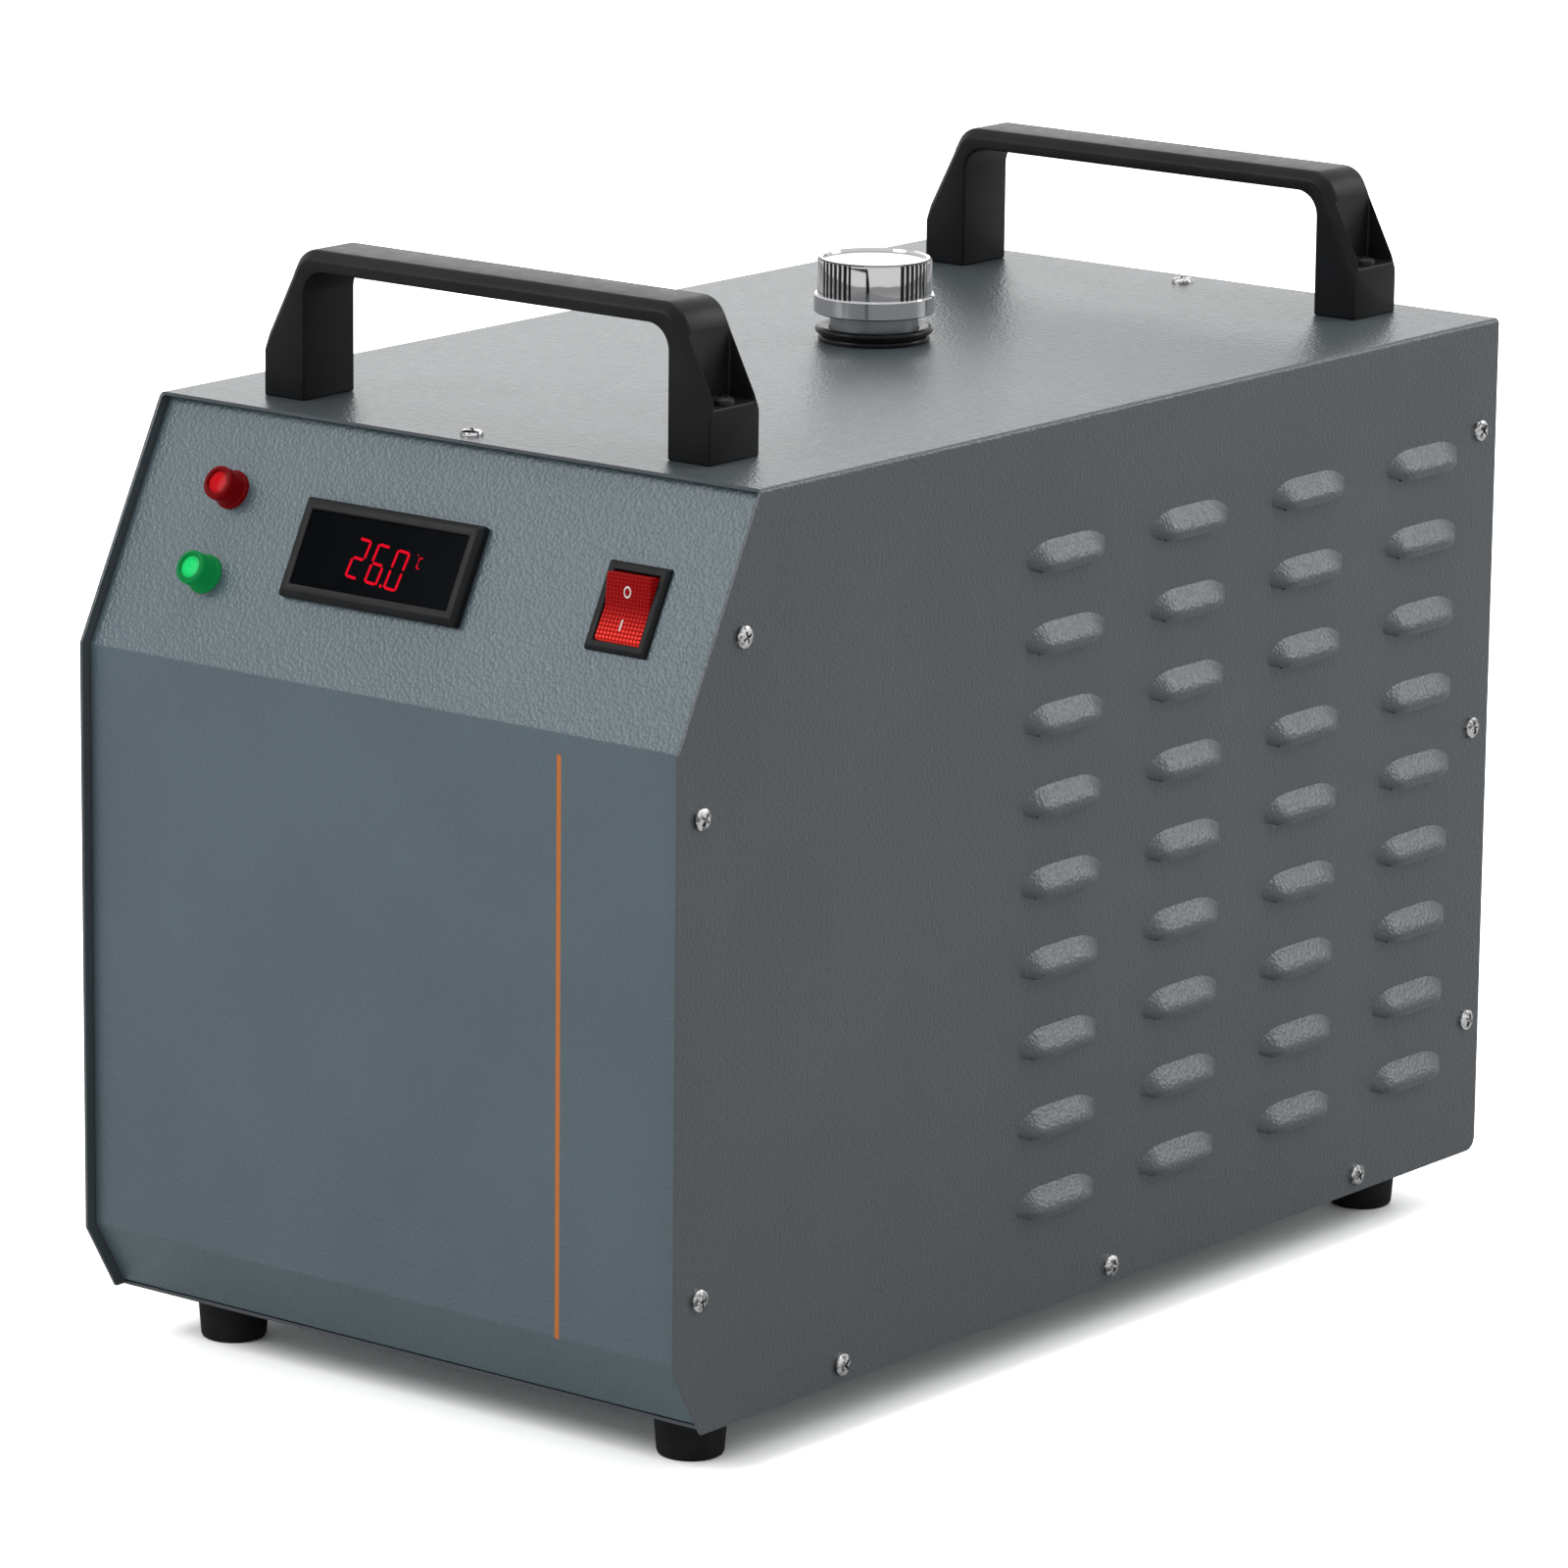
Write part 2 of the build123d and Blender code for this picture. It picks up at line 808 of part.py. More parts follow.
with BuildPart() as tank_brackets:
    with BuildSketch(facing_front(tank_front + (tank_depth + tank_bracket_depth) / 2)):
        add(
            bent_sheet(
                [
                    (tank_right + sheet_gap, seat + tank_bracket_height),
                    (tank_right + sheet_gap, seat),
                    (tank_right + sheet_gap + tank_bracket_foot, seat),
                ]
            )
        )
    right_bracket = extrude(amount=tank_bracket_depth)
    mirror(right_bracket, about=Plane.YZ.offset(tank_middle))
keep(tank_brackets, "tank_brackets")

with BuildPart(facing_front(tank_front)) as temperature_probe:
    with BuildSketch(facing_front(tank_front)):
        with Locations((-probe_from_middle, above(probe_height))):
            RegularPolygon(hexagon(probe_hex), 6)
    extrude(amount=probe_reach)
keep(temperature_probe, "temperature_probe")

# Filler: neck on the tank, ring on the cover, screw cap with its liner

cap_inside = body_top + cap_top - cap_crown
neck_top = cap_inside - liner_thickness - liner_gap
cap_bore = neck_radius + cap_running_gap

filler_axis = Plane(origin=(*filler_spot, 0))


def ring(inner_radius, outer_radius, bottom, top):
    """A turned ring about the upright axis, between two heights."""
    with BuildPart(Plane.XY.offset(bottom)) as form:
        with BuildSketch(Plane.XY.offset(bottom)):
            Circle(outer_radius)
            Circle(inner_radius, mode=Mode.SUBTRACT)
        extrude(amount=top - bottom)
    return form.part


with BuildPart(filler_axis) as filler_neck:
    add(ring(neck_bore_radius, neck_radius, tank_top, neck_top))
keep(filler_neck, "filler_neck")

with BuildPart(filler_axis) as filler_gasket:
    add(ring(neck_radius + gasket_clearance, gasket_radius, body_top, body_top + gasket_height))
keep(filler_gasket, "filler_gasket")

with BuildPart() as cap_form:
    with BuildSketch(Plane.XZ):
        turned(
            (cap_bore, body_top + cap_collar_bottom),
            (cap_collar_radius, body_top + cap_collar_bottom),
            (cap_collar_radius, body_top + cap_collar_bottom + cap_collar),
            (cap_grip_radius, body_top + cap_collar_bottom + cap_collar),
            (cap_grip_radius, body_top + cap_top),
            (0, body_top + cap_top),
            (0, cap_inside),
            (cap_bore, cap_inside),
        )
    revolve(axis=Axis.Z)

with BuildPart(filler_axis) as filler_cap:
    add(cap_form.part)
keep(filler_cap, "filler_cap")

with BuildPart(filler_axis.offset(neck_top + liner_gap)) as cap_liner:
    Cylinder(neck_radius, liner_thickness, align=(Align.CENTER, Align.CENTER, Align.MIN))
keep(cap_liner, "cap_liner")

# Pump: motor on its saddle, volute with its suction and outlet nozzles

pump_back = behind(pump_behind_front)
volute_front = pump_back + pump_motor_length
volute_back = volute_front + volute_depth
outlet_start = (
    pump_from_middle + pump_outlet_reach,
    volute_front + volute_depth / 2,
    outlet_spot[1],
)
pump_plane = Plane(
    origin=(pump_from_middle, pump_back, pump_height),
    x_dir=(-1, 0, 0),
    z_dir=(0, 1, 0),
)

with BuildPart(pump_plane) as pump_motor:
    Cylinder(
        pump_motor_radius,
        pump_motor_length,
        align=(Align.CENTER, Align.CENTER, Align.MIN),
    )
keep(pump_motor, "pump_motor")

with BuildPart(pump_plane.offset(pump_motor_length)) as pump_volute:
    Cylinder(volute_radius, volute_depth, align=(Align.CENTER, Align.CENTER, Align.MIN))
    with BuildSketch(Plane.YZ.offset(pump_from_middle)):
        with Locations(outlet_start[1:]):
            Rectangle(pump_nozzle_width, pump_nozzle_width)
    extrude(amount=pump_outlet_reach)
keep(pump_volute, "pump_volute")

with BuildPart() as pump_bracket:
    with BuildSketch(facing_front(pump_back + pump_motor_length / 2)):
        with Locations((pump_from_middle, seat)):
            Rectangle(
                pump_bracket_width,
                pump_height - pump_motor_radius + pump_bracket_hug - seat,
                align=(Align.CENTER, Align.MIN),
            )
        with Locations((pump_from_middle, pump_height)):
            Circle(pump_motor_radius + saddle_gap, mode=Mode.SUBTRACT)
    extrude(amount=pump_bracket_depth / 2, both=True)
keep(pump_bracket, "pump_bracket")

# Radiator on its shroud, fan behind it

with BuildPart() as radiator:
    with BuildSketch(facing_front(radiator_back)):
        with Locations(fan_spot):
            Rectangle(radiator_width, radiator_height)
    extrude(amount=radiator_depth)
    with BuildSketch(Plane.YZ) as tube_gaps:
        for face in (radiator_front, radiator_back):
            with Locations((face, fan_spot[1])):
                with GridLocations(1, radiator_height / radiator_tubes, 1, radiator_tubes - 1):
                    Rectangle(2 * radiator_groove, radiator_height / radiator_tubes / 2)
    extrude(amount=radiator_width / 2 - radiator_header, both=True, mode=Mode.SUBTRACT)
keep(radiator, "radiator")

with BuildPart() as fan_shroud:
    with BuildSketch(facing_front(fan_front)):
        with Locations(fan_spot):
            Rectangle(shroud_width, shroud_height)
            Circle(fan_bore_radius, mode=Mode.SUBTRACT)
        for side in (-1, 1):
            with Locations((side * shroud_leg_place, seat)):
                Rectangle(
                    shroud_leg_width,
                    shroud_bottom - seat,
                    align=(Align.CENTER, Align.MIN),
                )
    extrude(amount=sheet)
    with BuildSketch(Plane.XY.offset(seat)):
        for side in (-1, 1):
            with Locations((side * shroud_leg_place, fan_front)):
                Rectangle(shroud_leg_width, shroud_foot, align=(Align.CENTER, Align.MAX))
    extrude(amount=sheet)
keep(fan_shroud, "fan_shroud")

with BuildPart() as fan_frame:
    with BuildSketch(facing_front(back_inside)) as frame_outline:
        with Locations(fan_spot):
            Rectangle(fan_size, fan_size)
        chamfer(frame_outline.vertices(), length=fan_corner)
        with Locations(fan_spot):
            Circle(fan_bore_radius, mode=Mode.SUBTRACT)
    extrude(amount=fan_depth)
    with BuildSketch(facing_front(back_inside)):
        with Locations(fan_spot):
            Circle(fan_boss_radius)
            Rectangle(2 * fan_bore_radius + fan_tip_gap, fan_strut_width)
            Rectangle(fan_strut_width, 2 * fan_bore_radius + fan_tip_gap)
    extrude(amount=fan_boss)
    with BuildSketch(facing_front(back_inside)):
        with Locations(fan_spot):
            Circle(fan_shaft_radius)
    extrude(amount=fan_depth / 2)
keep(fan_frame, "fan_frame")


fan_hub_depth = fan_depth - fan_boss - 2 * fan_hub_gap
blade_root = fan_hub_radius - blade_root_sink
blade_tip = fan_bore_radius - fan_tip_gap
blade_plane = Plane(
    origin=(blade_root, 0, 0),
    x_dir=(0, cos(radians(blade_angle)), sin(radians(blade_angle))),
    z_dir=(1, 0, 0),
)

with BuildPart() as blade_form:
    with BuildSketch(blade_plane):
        with BuildLine():
            hollow_side = SagittaArc((-blade_chord / 2, 0), (blade_chord / 2, 0), blade_camber)
            round_side = SagittaArc(
                (-blade_chord / 2, blade_thickness),
                (blade_chord / 2, blade_thickness),
                blade_camber,
            )
            Line(hollow_side @ 0, round_side @ 0)
            Line(hollow_side @ 1, round_side @ 1)
        make_face()
    extrude(amount=blade_tip - blade_root)
    Cylinder(blade_tip, fan_depth, mode=Mode.INTERSECT)

rotor_plane = Plane(
    origin=(fan_spot[0], back_inside - fan_boss - fan_hub_gap, fan_spot[1]),
    x_dir=(1, 0, 0),
    z_dir=(0, -1, 0),
)

with BuildPart(rotor_plane) as fan_rotor:
    Cylinder(fan_hub_radius, fan_hub_depth, align=(Align.CENTER, Align.CENTER, Align.MIN))
    with Locations((0, 0, fan_hub_depth / 2)):
        with PolarLocations(0, fan_blades):
            add(blade_form.part)
    Cylinder(
        fan_shaft_radius + fan_shaft_clearance,
        fan_depth / 2,
        align=(Align.CENTER, Align.CENTER, Align.MIN),
        mode=Mode.SUBTRACT,
    )
keep(fan_rotor, "fan_rotor")

# Water fittings through the back panel

with BuildPart() as tail_form:
    with BuildSketch(Plane.XZ):
        turned(
            (tail_bore_radius, tail_reach),
            (tail_tip_radius, tail_reach),
            (tail_barb_radius, tail_reach - tail_barb),
            (tail_root_radius, tail_reach - tail_barb),
            (tail_root_radius, 0),
            (tail_thread_radius, 0),
            (tail_thread_radius, -sheet - tail_thread),
            (tail_bore_radius, -sheet - tail_thread),
        )
    revolve(axis=Axis.Z)
    with BuildSketch():
        RegularPolygon(hexagon(tail_flange_width), 6)
        Circle(tail_bore_radius, mode=Mode.SUBTRACT)
    extrude(amount=tail_flange)

with BuildPart(facing_back(back_face)) as water_tails:
    with Locations((-outlet_spot[0], outlet_spot[1]), (-inlet_spot[0], inlet_spot[1])):
        add(tail_form.part)
keep(water_tails, "water_tails")

with BuildPart() as drain_form:
    with BuildSketch(Plane.XZ):
        turned(
            (drain_bore_radius, drain_neck),
            (drain_neck_radius, drain_neck),
            (drain_neck_radius, 0),
            (tail_thread_radius, 0),
            (tail_thread_radius, -sheet - tail_thread),
            (drain_bore_radius, -sheet - tail_thread),
        )
    revolve(axis=Axis.Z)
    with BuildSketch():
        RegularPolygon(hexagon(tail_flange_width), 6)
        Circle(drain_bore_radius, mode=Mode.SUBTRACT)
    extrude(amount=tail_flange)

with BuildPart(facing_back(back_face)) as drain_fitting:
    with Locations((-drain_place[0], drain_place[1])):
        add(drain_form.part)
keep(drain_fitting, "drain_fitting")

with BuildPart(facing_back(back_face).offset(tail_flange + drain_plug_gap)) as drain_plug:
    with BuildSketch(facing_back(back_face).offset(tail_flange + drain_plug_gap)):
        with Locations((-drain_place[0], drain_place[1])):
            RegularPolygon(drain_plug_radius, drain_plug_sides)
    extrude(amount=drain_plug_length)
    with BuildSketch(facing_back(back_face).offset(tail_flange + drain_plug_gap)):
        with Locations((-drain_place[0], drain_place[1])):
            Circle(drain_neck_radius + drain_plug_gap)
    extrude(amount=drain_plug_length - drain_plug_end, mode=Mode.SUBTRACT)
keep(drain_plug, "drain_plug")

with BuildPart(facing_back(back_face).offset(drain_neck + drain_plug_gap)) as drain_liner:
    with Locations((-drain_place[0], drain_place[1])):
        Cylinder(
            drain_neck_radius,
            tail_flange + drain_plug_length - drain_plug_end - drain_neck,
            align=(Align.CENTER, Align.CENTER, Align.MIN),
        )
keep(drain_liner, "drain_liner")

# Flow switch under the radiator's inlet

with BuildPart() as flow_switch:
    with Locations((inlet_spot[0], radiator_middle, inlet_spot[1])):
        Box(flow_switch_width, flow_switch_length, flow_switch_height)
keep(flow_switch, "flow_switch")

# Inner hoses

thread_end = back_inside - tail_thread


def straight_hose(start, end, name):
    """A straight piece of hose from one fitting's face to the next."""
    run = Vector(*end) - Vector(*start)
    with BuildPart(Plane(origin=start, z_dir=run)) as hose:
        Cylinder(hose_radius, run.length, align=(Align.CENTER, Align.CENTER, Align.MIN))
    keep(hose, name)


straight_hose(
    (pump_from_middle, volute_back, pump_height),
    (pump_from_middle, tank_front, pump_height),
    "suction_hose",
)
straight_hose(
    (return_spot[0], tank_back, return_spot[1]),
    (return_spot[0], radiator_front, return_spot[1]),
    "return_hose",
)
straight_hose(
    (inlet_spot[0], radiator_middle + flow_switch_length / 2, inlet_spot[1]),
    (inlet_spot[0], thread_end, inlet_spot[1]),
    "inlet_hose",
)
straight_hose(
    (inlet_spot[0], radiator_middle, inlet_spot[1] + flow_switch_height / 2),
    (inlet_spot[0], radiator_middle, radiator_bottom),
    "radiator_hose",
)
straight_hose(
    (drain_place[0], tank_back, drain_place[1]),
    (drain_place[0], thread_end, drain_place[1]),
    "drain_hose",
)

bend_start = outlet_spot[0] - hose_bend
bend_end = outlet_start[1] + hose_bend

with BuildPart() as outlet_hose:
    with BuildSketch(Plane.YZ.offset(outlet_start[0])):
        with Locations(outlet_start[1:]):
            Circle(hose_radius)
    extrude(amount=bend_start - outlet_start[0])
    with BuildSketch(Plane.YZ.offset(bend_start)):
        with Locations(outlet_start[1:]):
            Circle(hose_radius)
    revolve(axis=Axis((bend_start, bend_end, outlet_start[2]), (0, 0, 1)), revolution_arc=90)
    with BuildSketch(facing_back(bend_end)):
        with Locations((-outlet_spot[0], outlet_spot[1])):
            Circle(hose_radius)
    extrude(amount=thread_end - bend_end)
keep(outlet_hose, "outlet_hose")

# Power inlet and alarm socket

power_place = (-power_spot[0], above(power_spot[1]))

with BuildPart(facing_back(back_face)) as power_inlet:
    with BuildSketch(facing_back(back_face)):
        with Locations(power_place):
            Rectangle(power_flange_width, power_height)
    extrude(amount=power_flange)
    with BuildSketch(facing_back(back_face)):
        with Locations(power_place):
            Rectangle(power_width, power_height)
    extrude(amount=-power_body_depth)
    with BuildSketch(facing_back(back_face + power_flange)) as recess:
        with Locations(power_place):
            Rectangle(power_recess_width, power_recess_height)
        chamfer(recess.vertices().group_by(Axis.Y)[-1], length=power_blade_height)
    extrude(amount=-power_recess_depth, mode=Mode.SUBTRACT)
    with BuildSketch(facing_back(back_face + power_flange - power_recess_depth)):
        with Locations(power_place):
            with Locations(
                (-power_blade_spacing, -power_blade_offset),
                (0, power_blade_offset),
                (power_blade_spacing, -power_blade_offset),
            ):
                Rectangle(power_blade_width, power_blade_height)
    extrude(amount=power_blade_reach)
keep(power_inlet, "power_inlet")

alarm_place = (-alarm_spot[0], above(alarm_spot[1]))

with BuildPart(facing_back(back_face)) as alarm_socket:
    with BuildSketch(facing_back(back_face)):
        with Locations(alarm_place):
            RegularPolygon(hexagon(alarm_flange_width), 6)
    extrude(amount=alarm_flange)
    with BuildSketch(facing_back(back_face - sheet - alarm_inside)):
        with Locations(alarm_place):
            Circle(alarm_radius)
    extrude(amount=sheet + alarm_inside + alarm_reach)
    with BuildSketch(facing_back(back_face + alarm_reach)):
        with Locations(alarm_place):
            Circle(alarm_recess_radius)
    extrude(amount=-alarm_recess_depth, mode=Mode.SUBTRACT)
    with BuildSketch(facing_back(back_face + alarm_reach - alarm_recess_depth)):
        with Locations(alarm_place):
            with Locations((-alarm_pin_place, 0), (alarm_pin_place, 0)):
                RegularPolygon(alarm_pin_radius, 6)
    extrude(amount=alarm_pin_reach)
keep(alarm_socket, "alarm_socket")

# Power supply on the tray, control board on standoffs above it

supply_middle = (-supply_left_of_middle, behind(supply_behind_front))
supply_top = seat + supply_height

with BuildPart(Plane(origin=(*supply_middle, seat))) as power_supply:
    Box(
        supply_width,
        supply_depth,
        supply_height,
        align=(Align.CENTER, Align.CENTER, Align.MIN),
    )
    with BuildSketch(Plane(origin=(*supply_middle, supply_top))):
        with GridLocations(1, supply_groove_pitch, 1, supply_grooves):
            Rectangle(supply_width / 2, supply_groove)
    extrude(amount=-supply_groove, mode=Mode.SUBTRACT)
keep(power_supply, "power_supply")

with BuildPart(Plane(origin=(*supply_middle, supply_top))) as board_standoffs:
    with BuildSketch(Plane(origin=(*supply_middle, supply_top))):
        with GridLocations(
            board_width - 2 * standoff_inset,
            board_depth - 2 * standoff_inset,
            2,
            2,
        ):
            RegularPolygon(hexagon(standoff_width), 6)
    extrude(amount=standoff)
keep(board_standoffs, "board_standoffs")

with BuildPart(Plane(origin=(*supply_middle, supply_top + standoff))) as control_board:
    Box(
        board_width,
        board_depth,
        board_thickness,
        align=(Align.CENTER, Align.CENTER, Align.MIN),
    )
    with Locations((0, 0, board_thickness)):
        with GridLocations(relay_width * 2, relay_depth * 2, 2, 2):
            Box(
                relay_width,
                relay_depth,
                relay_height,
                align=(Align.CENTER, Align.CENTER, Align.MIN),
            )
keep(control_board, "control_board")
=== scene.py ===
import math

import bmesh
import bpy
from bpy.props import FloatProperty, FloatVectorProperty, IntProperty, PointerProperty, StringProperty
from bpy.types import Operator, Panel, PropertyGroup
from mathutils import Matrix, Vector


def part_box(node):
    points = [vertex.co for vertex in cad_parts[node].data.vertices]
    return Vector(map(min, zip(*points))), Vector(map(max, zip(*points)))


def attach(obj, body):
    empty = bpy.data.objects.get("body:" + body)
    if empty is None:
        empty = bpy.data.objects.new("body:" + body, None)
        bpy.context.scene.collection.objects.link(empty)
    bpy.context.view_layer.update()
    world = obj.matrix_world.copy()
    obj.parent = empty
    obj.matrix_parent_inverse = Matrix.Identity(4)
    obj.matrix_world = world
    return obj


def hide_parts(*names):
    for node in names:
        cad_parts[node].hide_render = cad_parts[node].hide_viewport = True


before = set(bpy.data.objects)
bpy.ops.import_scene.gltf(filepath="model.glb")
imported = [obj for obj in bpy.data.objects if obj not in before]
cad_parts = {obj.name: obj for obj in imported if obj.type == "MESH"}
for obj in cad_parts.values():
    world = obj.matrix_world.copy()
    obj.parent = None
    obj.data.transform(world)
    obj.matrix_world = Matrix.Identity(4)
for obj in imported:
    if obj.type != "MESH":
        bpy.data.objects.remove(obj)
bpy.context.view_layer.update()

bl_info = {
    "name": "Recirculating chiller",
    "version": (1, 0, 0),
    "blender": (4, 5, 0),
    "location": "3D View > Sidebar > Chiller",
    "description": "Dresses the bench-top recirculating chiller over its fixed solids",
    "category": "Object",
}

MM = 0.001
COVER_LOW, COVER_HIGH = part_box("cover")
GASKET_LOW, GASKET_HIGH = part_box("filler_gasket")
FILLER = (GASKET_LOW + GASKET_HIGH) / 2
PANEL_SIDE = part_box("front_panel")[1].x
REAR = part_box("back_panel")[1].y
FRONT, BOTTOM, TOP = COVER_LOW.y, COVER_LOW.z, COVER_HIGH.z


# Sizes and colours


def length(name, description, millimetres):
    """A length that a user can change."""
    return FloatProperty(name=name, description=description, default=millimetres * MM, unit="LENGTH")


def shade_of(name, description, default):
    """A colour that a user can change."""
    return FloatVectorProperty(name=name, description=description, subtype="COLOR", size=3, default=default)


class ChillerSizes(PropertyGroup):
    """Sizes of the pieces that the solids leave plain."""

    sheet: length("Sheet", "Thickness of the folded sheet", 1.2)
    side_gap: length("Side gap", "Gap beside the front panel", 0.2)
    fold: length("Fold", "Outer radius of the cover's folds", 1.8)
    slope_run: length("Slope run", "Depth of the panel's slope", 42.5)
    slope_drop: length("Slope drop", "Height of the panel's slope", 83.2)
    chamfer_run: length("Chamfer run", "Depth of the lower chamfer", 14.5)
    chamfer_drop: length("Chamfer drop", "Height of the lower chamfer", 24.7)
    rear_corner: length("Rear corner", "Radius of the side's lower rear corner", 5)
    panel_recess: length("Recess", "How far the front panel lies inside the cover", 4)
    louvre_columns: IntProperty(name="Louvre columns", description="Louvres along each side", default=4)
    louvre_rows: IntProperty(name="Louvre rows", description="Louvres one above another", default=9)
    louvre_length: length("Louvre length", "Length of one louvre", 45.8)
    louvre_height: length("Louvre height", "Height of one louvre", 10.8)
    louvre_lift: length("Louvre lift", "How far a louvre stands out", 4.9)
    screw_head: length("Screw head", "Radius of a cover screw's head", 4.0)
    screw_rise: length("Screw rise", "Height of a cover screw's head", 2.1)
    digit_height: length("Digit height", "Height of a display digit", 14.4)


class ChillerColours(PropertyGroup):
    """Colours of the finishes."""

    coat: shade_of("Powder coat", "Slate powder coat", (0.078, 0.092, 0.101))
    # The front coat is partly a bluer tone and partly painted light: it is lighter than the cover's coat, as
    # the front panel's lit face.
    front_coat_and_light: shade_of("Front coat", "Slate powder coat of the front panel", (0.106, 0.153, 0.176))
    stripe: shade_of("Stripe", "Orange stripe on the front", (0.64, 0.185, 0.026))
    moulded: shade_of("Moulded black", "Handles and frames", (0.0085, 0.009, 0.010))
    rubber: shade_of("Rubber", "Feet, ring and hoses", (0.009, 0.009, 0.010))
    red_lamp: shade_of("Red lamp", "Red indicator lens", (0.42, 0.002, 0.006))
    green_lamp: shade_of("Green lamp", "Green indicator lens", (0.006, 0.36, 0.085))
    rocker: shade_of("Rocker", "Lit red rocker", (0.58, 0.006, 0.012))
    digits: shade_of("Digits", "Lit display segments", (0.68, 0.004, 0.018))


# Shader maths


class Wire:
    """A socket that shader maths is written on."""

    def __init__(self, finish, socket):
        self.finish = finish
        self.socket = socket

    def maths(self, operation, *values):
        return self.finish.node("ShaderNodeMath", {"operation": operation}, dict(enumerate(values)))

    def __add__(self, other):
        return self.maths("ADD", self, other)

    def __sub__(self, other):
        return self.maths("SUBTRACT", self, other)

    def __rsub__(self, other):
        return self.maths("SUBTRACT", other, self)

    def __mul__(self, other):
        return self.maths("MULTIPLY", self, other)

    def __abs__(self):
        return self.maths("ABSOLUTE", self)

    def sine(self):
        return self.maths("SINE", self)

    def lowest(self, other):
        return self.maths("MINIMUM", self, other)

    def highest(self, other):
        return self.maths("MAXIMUM", self, other)

    def root(self):
        return self.maths("SQRT", self)

    def between(self, low, high):
        """0 below low, 1 above high and smooth between; the other way round if low is the larger."""
        values = {0: self, 1: low, 2: high, 3: 0.0, 4: 1.0}
        return self.finish.node("ShaderNodeMapRange", {"interpolation_type": "SMOOTHSTEP"}, values)


class Finish:
    """A material and the nodes that make it."""

    def __init__(self, name, **constants):
        self.material = bpy.data.materials.new(name)
        self.material.use_nodes = True
        self.tree = self.material.node_tree
        self.shader = self.tree.nodes["Principled BSDF"]
        self.give(**constants)
        self.point = self.node("ShaderNodeTexCoord", {}, {}, "Object")
        parts = self.node("ShaderNodeSeparateXYZ", {}, {0: self.point}).socket.node
        self.x, self.y, self.z = (Wire(self, parts.outputs[axis]) for axis in "XYZ")

    def node(self, kind, settings, values, output=0):
        """A node with its settings made first, then its sockets' values or links."""
        made = self.tree.nodes.new(kind)
        for name, value in settings.items():
            setattr(made, name, value)
        for socket, value in values.items():
            self.feed(made.inputs[socket], value)
        return Wire(self, made.outputs[output])

    def feed(self, socket, value):
        if isinstance(value, Wire):
            self.tree.links.new(value.socket, socket)
        else:
            socket.default_value = value

    def colour(self, mask, low, high):
        """A colour that goes from one to another with a mask."""
        low, high = (value if isinstance(value, Wire) else (*value, 1.0) for value in (low, high))
        return self.node("ShaderNodeMix", {"data_type": "RGBA"}, {0: mask, 6: low, 7: high}, 2)

    def noise(self, size, detail=2.0, stretch=None):
        """Noise whose lumps are about this size, in metres, longer along a stretched axis."""
        place = self.point
        if stretch:
            scale = tuple(1 / value for value in stretch)
            place = self.node("ShaderNodeVectorMath", {"operation": "MULTIPLY"}, {0: place, 1: scale})
        return self.node("ShaderNodeTexNoise", {}, {"Vector": place, "Scale": 1 / size, "Detail": detail})

    def cells(self, size, smooth=0.6):
        """Rounded lumps about this size, in metres."""
        values = {"Vector": self.point, "Scale": 1 / size, "Smoothness": smooth}
        return self.node("ShaderNodeTexVoronoi", {"feature": "SMOOTH_F1"}, values)

    def give(self, **values):
        """Feeds the shader's own sockets."""
        for socket, value in values.items():
            self.feed(self.shader.inputs[socket.replace("_", " ")], value)

    def done(self, colour, roughness, height, depth):
        """The material, with a bump that rises by a height of 0 to 1, times a depth in metres."""
        bump = self.node("ShaderNodeBump", {}, {"Height": height, "Distance": depth, "Strength": 1.0})
        self.give(Base_Color=colour, Roughness=roughness, Normal=bump)
        return self.material


def chosen(name):
    """A colour as the user has set it."""
    return tuple(getattr(bpy.context.scene.chiller_colours, name))


def vivid(colour, factor):
    """A colour made lighter or darker."""
    return tuple(min(value * factor, 1.0) for value in colour)


# Finishes


def powder_coat(name, coat, stripe=None):
    """Slate powder coat with its fine orange peel; on the front panel it carries the stripe."""
    finish = Finish(name, Specular_IOR_Level=0.5)
    drift = finish.noise(60 * MM, 3.0)
    speck = finish.noise(0.9 * MM, 1.0)
    colour = finish.colour(drift.between(0.25, 0.75), vivid(coat, 0.95), vivid(coat, 1.05))
    colour = finish.colour(speck.between(0.62, 0.8) * 0.25, colour, vivid(coat, 1.5))
    peel = finish.cells(1.4 * MM, 0.25) * 0.9 + finish.noise(0.8 * MM, 1.0) * 0.4
    if stripe:
        left, right, foot, head, behind = stripe
        edge = 0.12 * MM
        across = finish.x.between(left - edge, left + edge) * finish.x.between(right + edge, right - edge)
        along = finish.z.between(foot - edge, foot + edge) * finish.z.between(head + edge, head - edge)
        field = across * along * finish.y.between(behind + edge, behind - edge)
        colour = finish.colour(field, colour, chosen("stripe"))
        peel = peel * (1 - field * 0.35)
    return finish.done(colour, finish.noise(3 * MM) * 0.10 + 0.29, peel, 0.2 * MM)


def inside_shade():
    """Inside of the cover, near-black as painted shade."""
    finish = Finish("dark_primer", Specular_IOR_Level=0.0)
    colour = finish.colour(finish.noise(25 * MM, 3.0), (0.0015, 0.0016, 0.0018), (0.004, 0.0042, 0.0046))
    return finish.done(colour, finish.noise(6 * MM) * 0.2 + 0.5, finish.cells(1.4 * MM), 0.03 * MM)


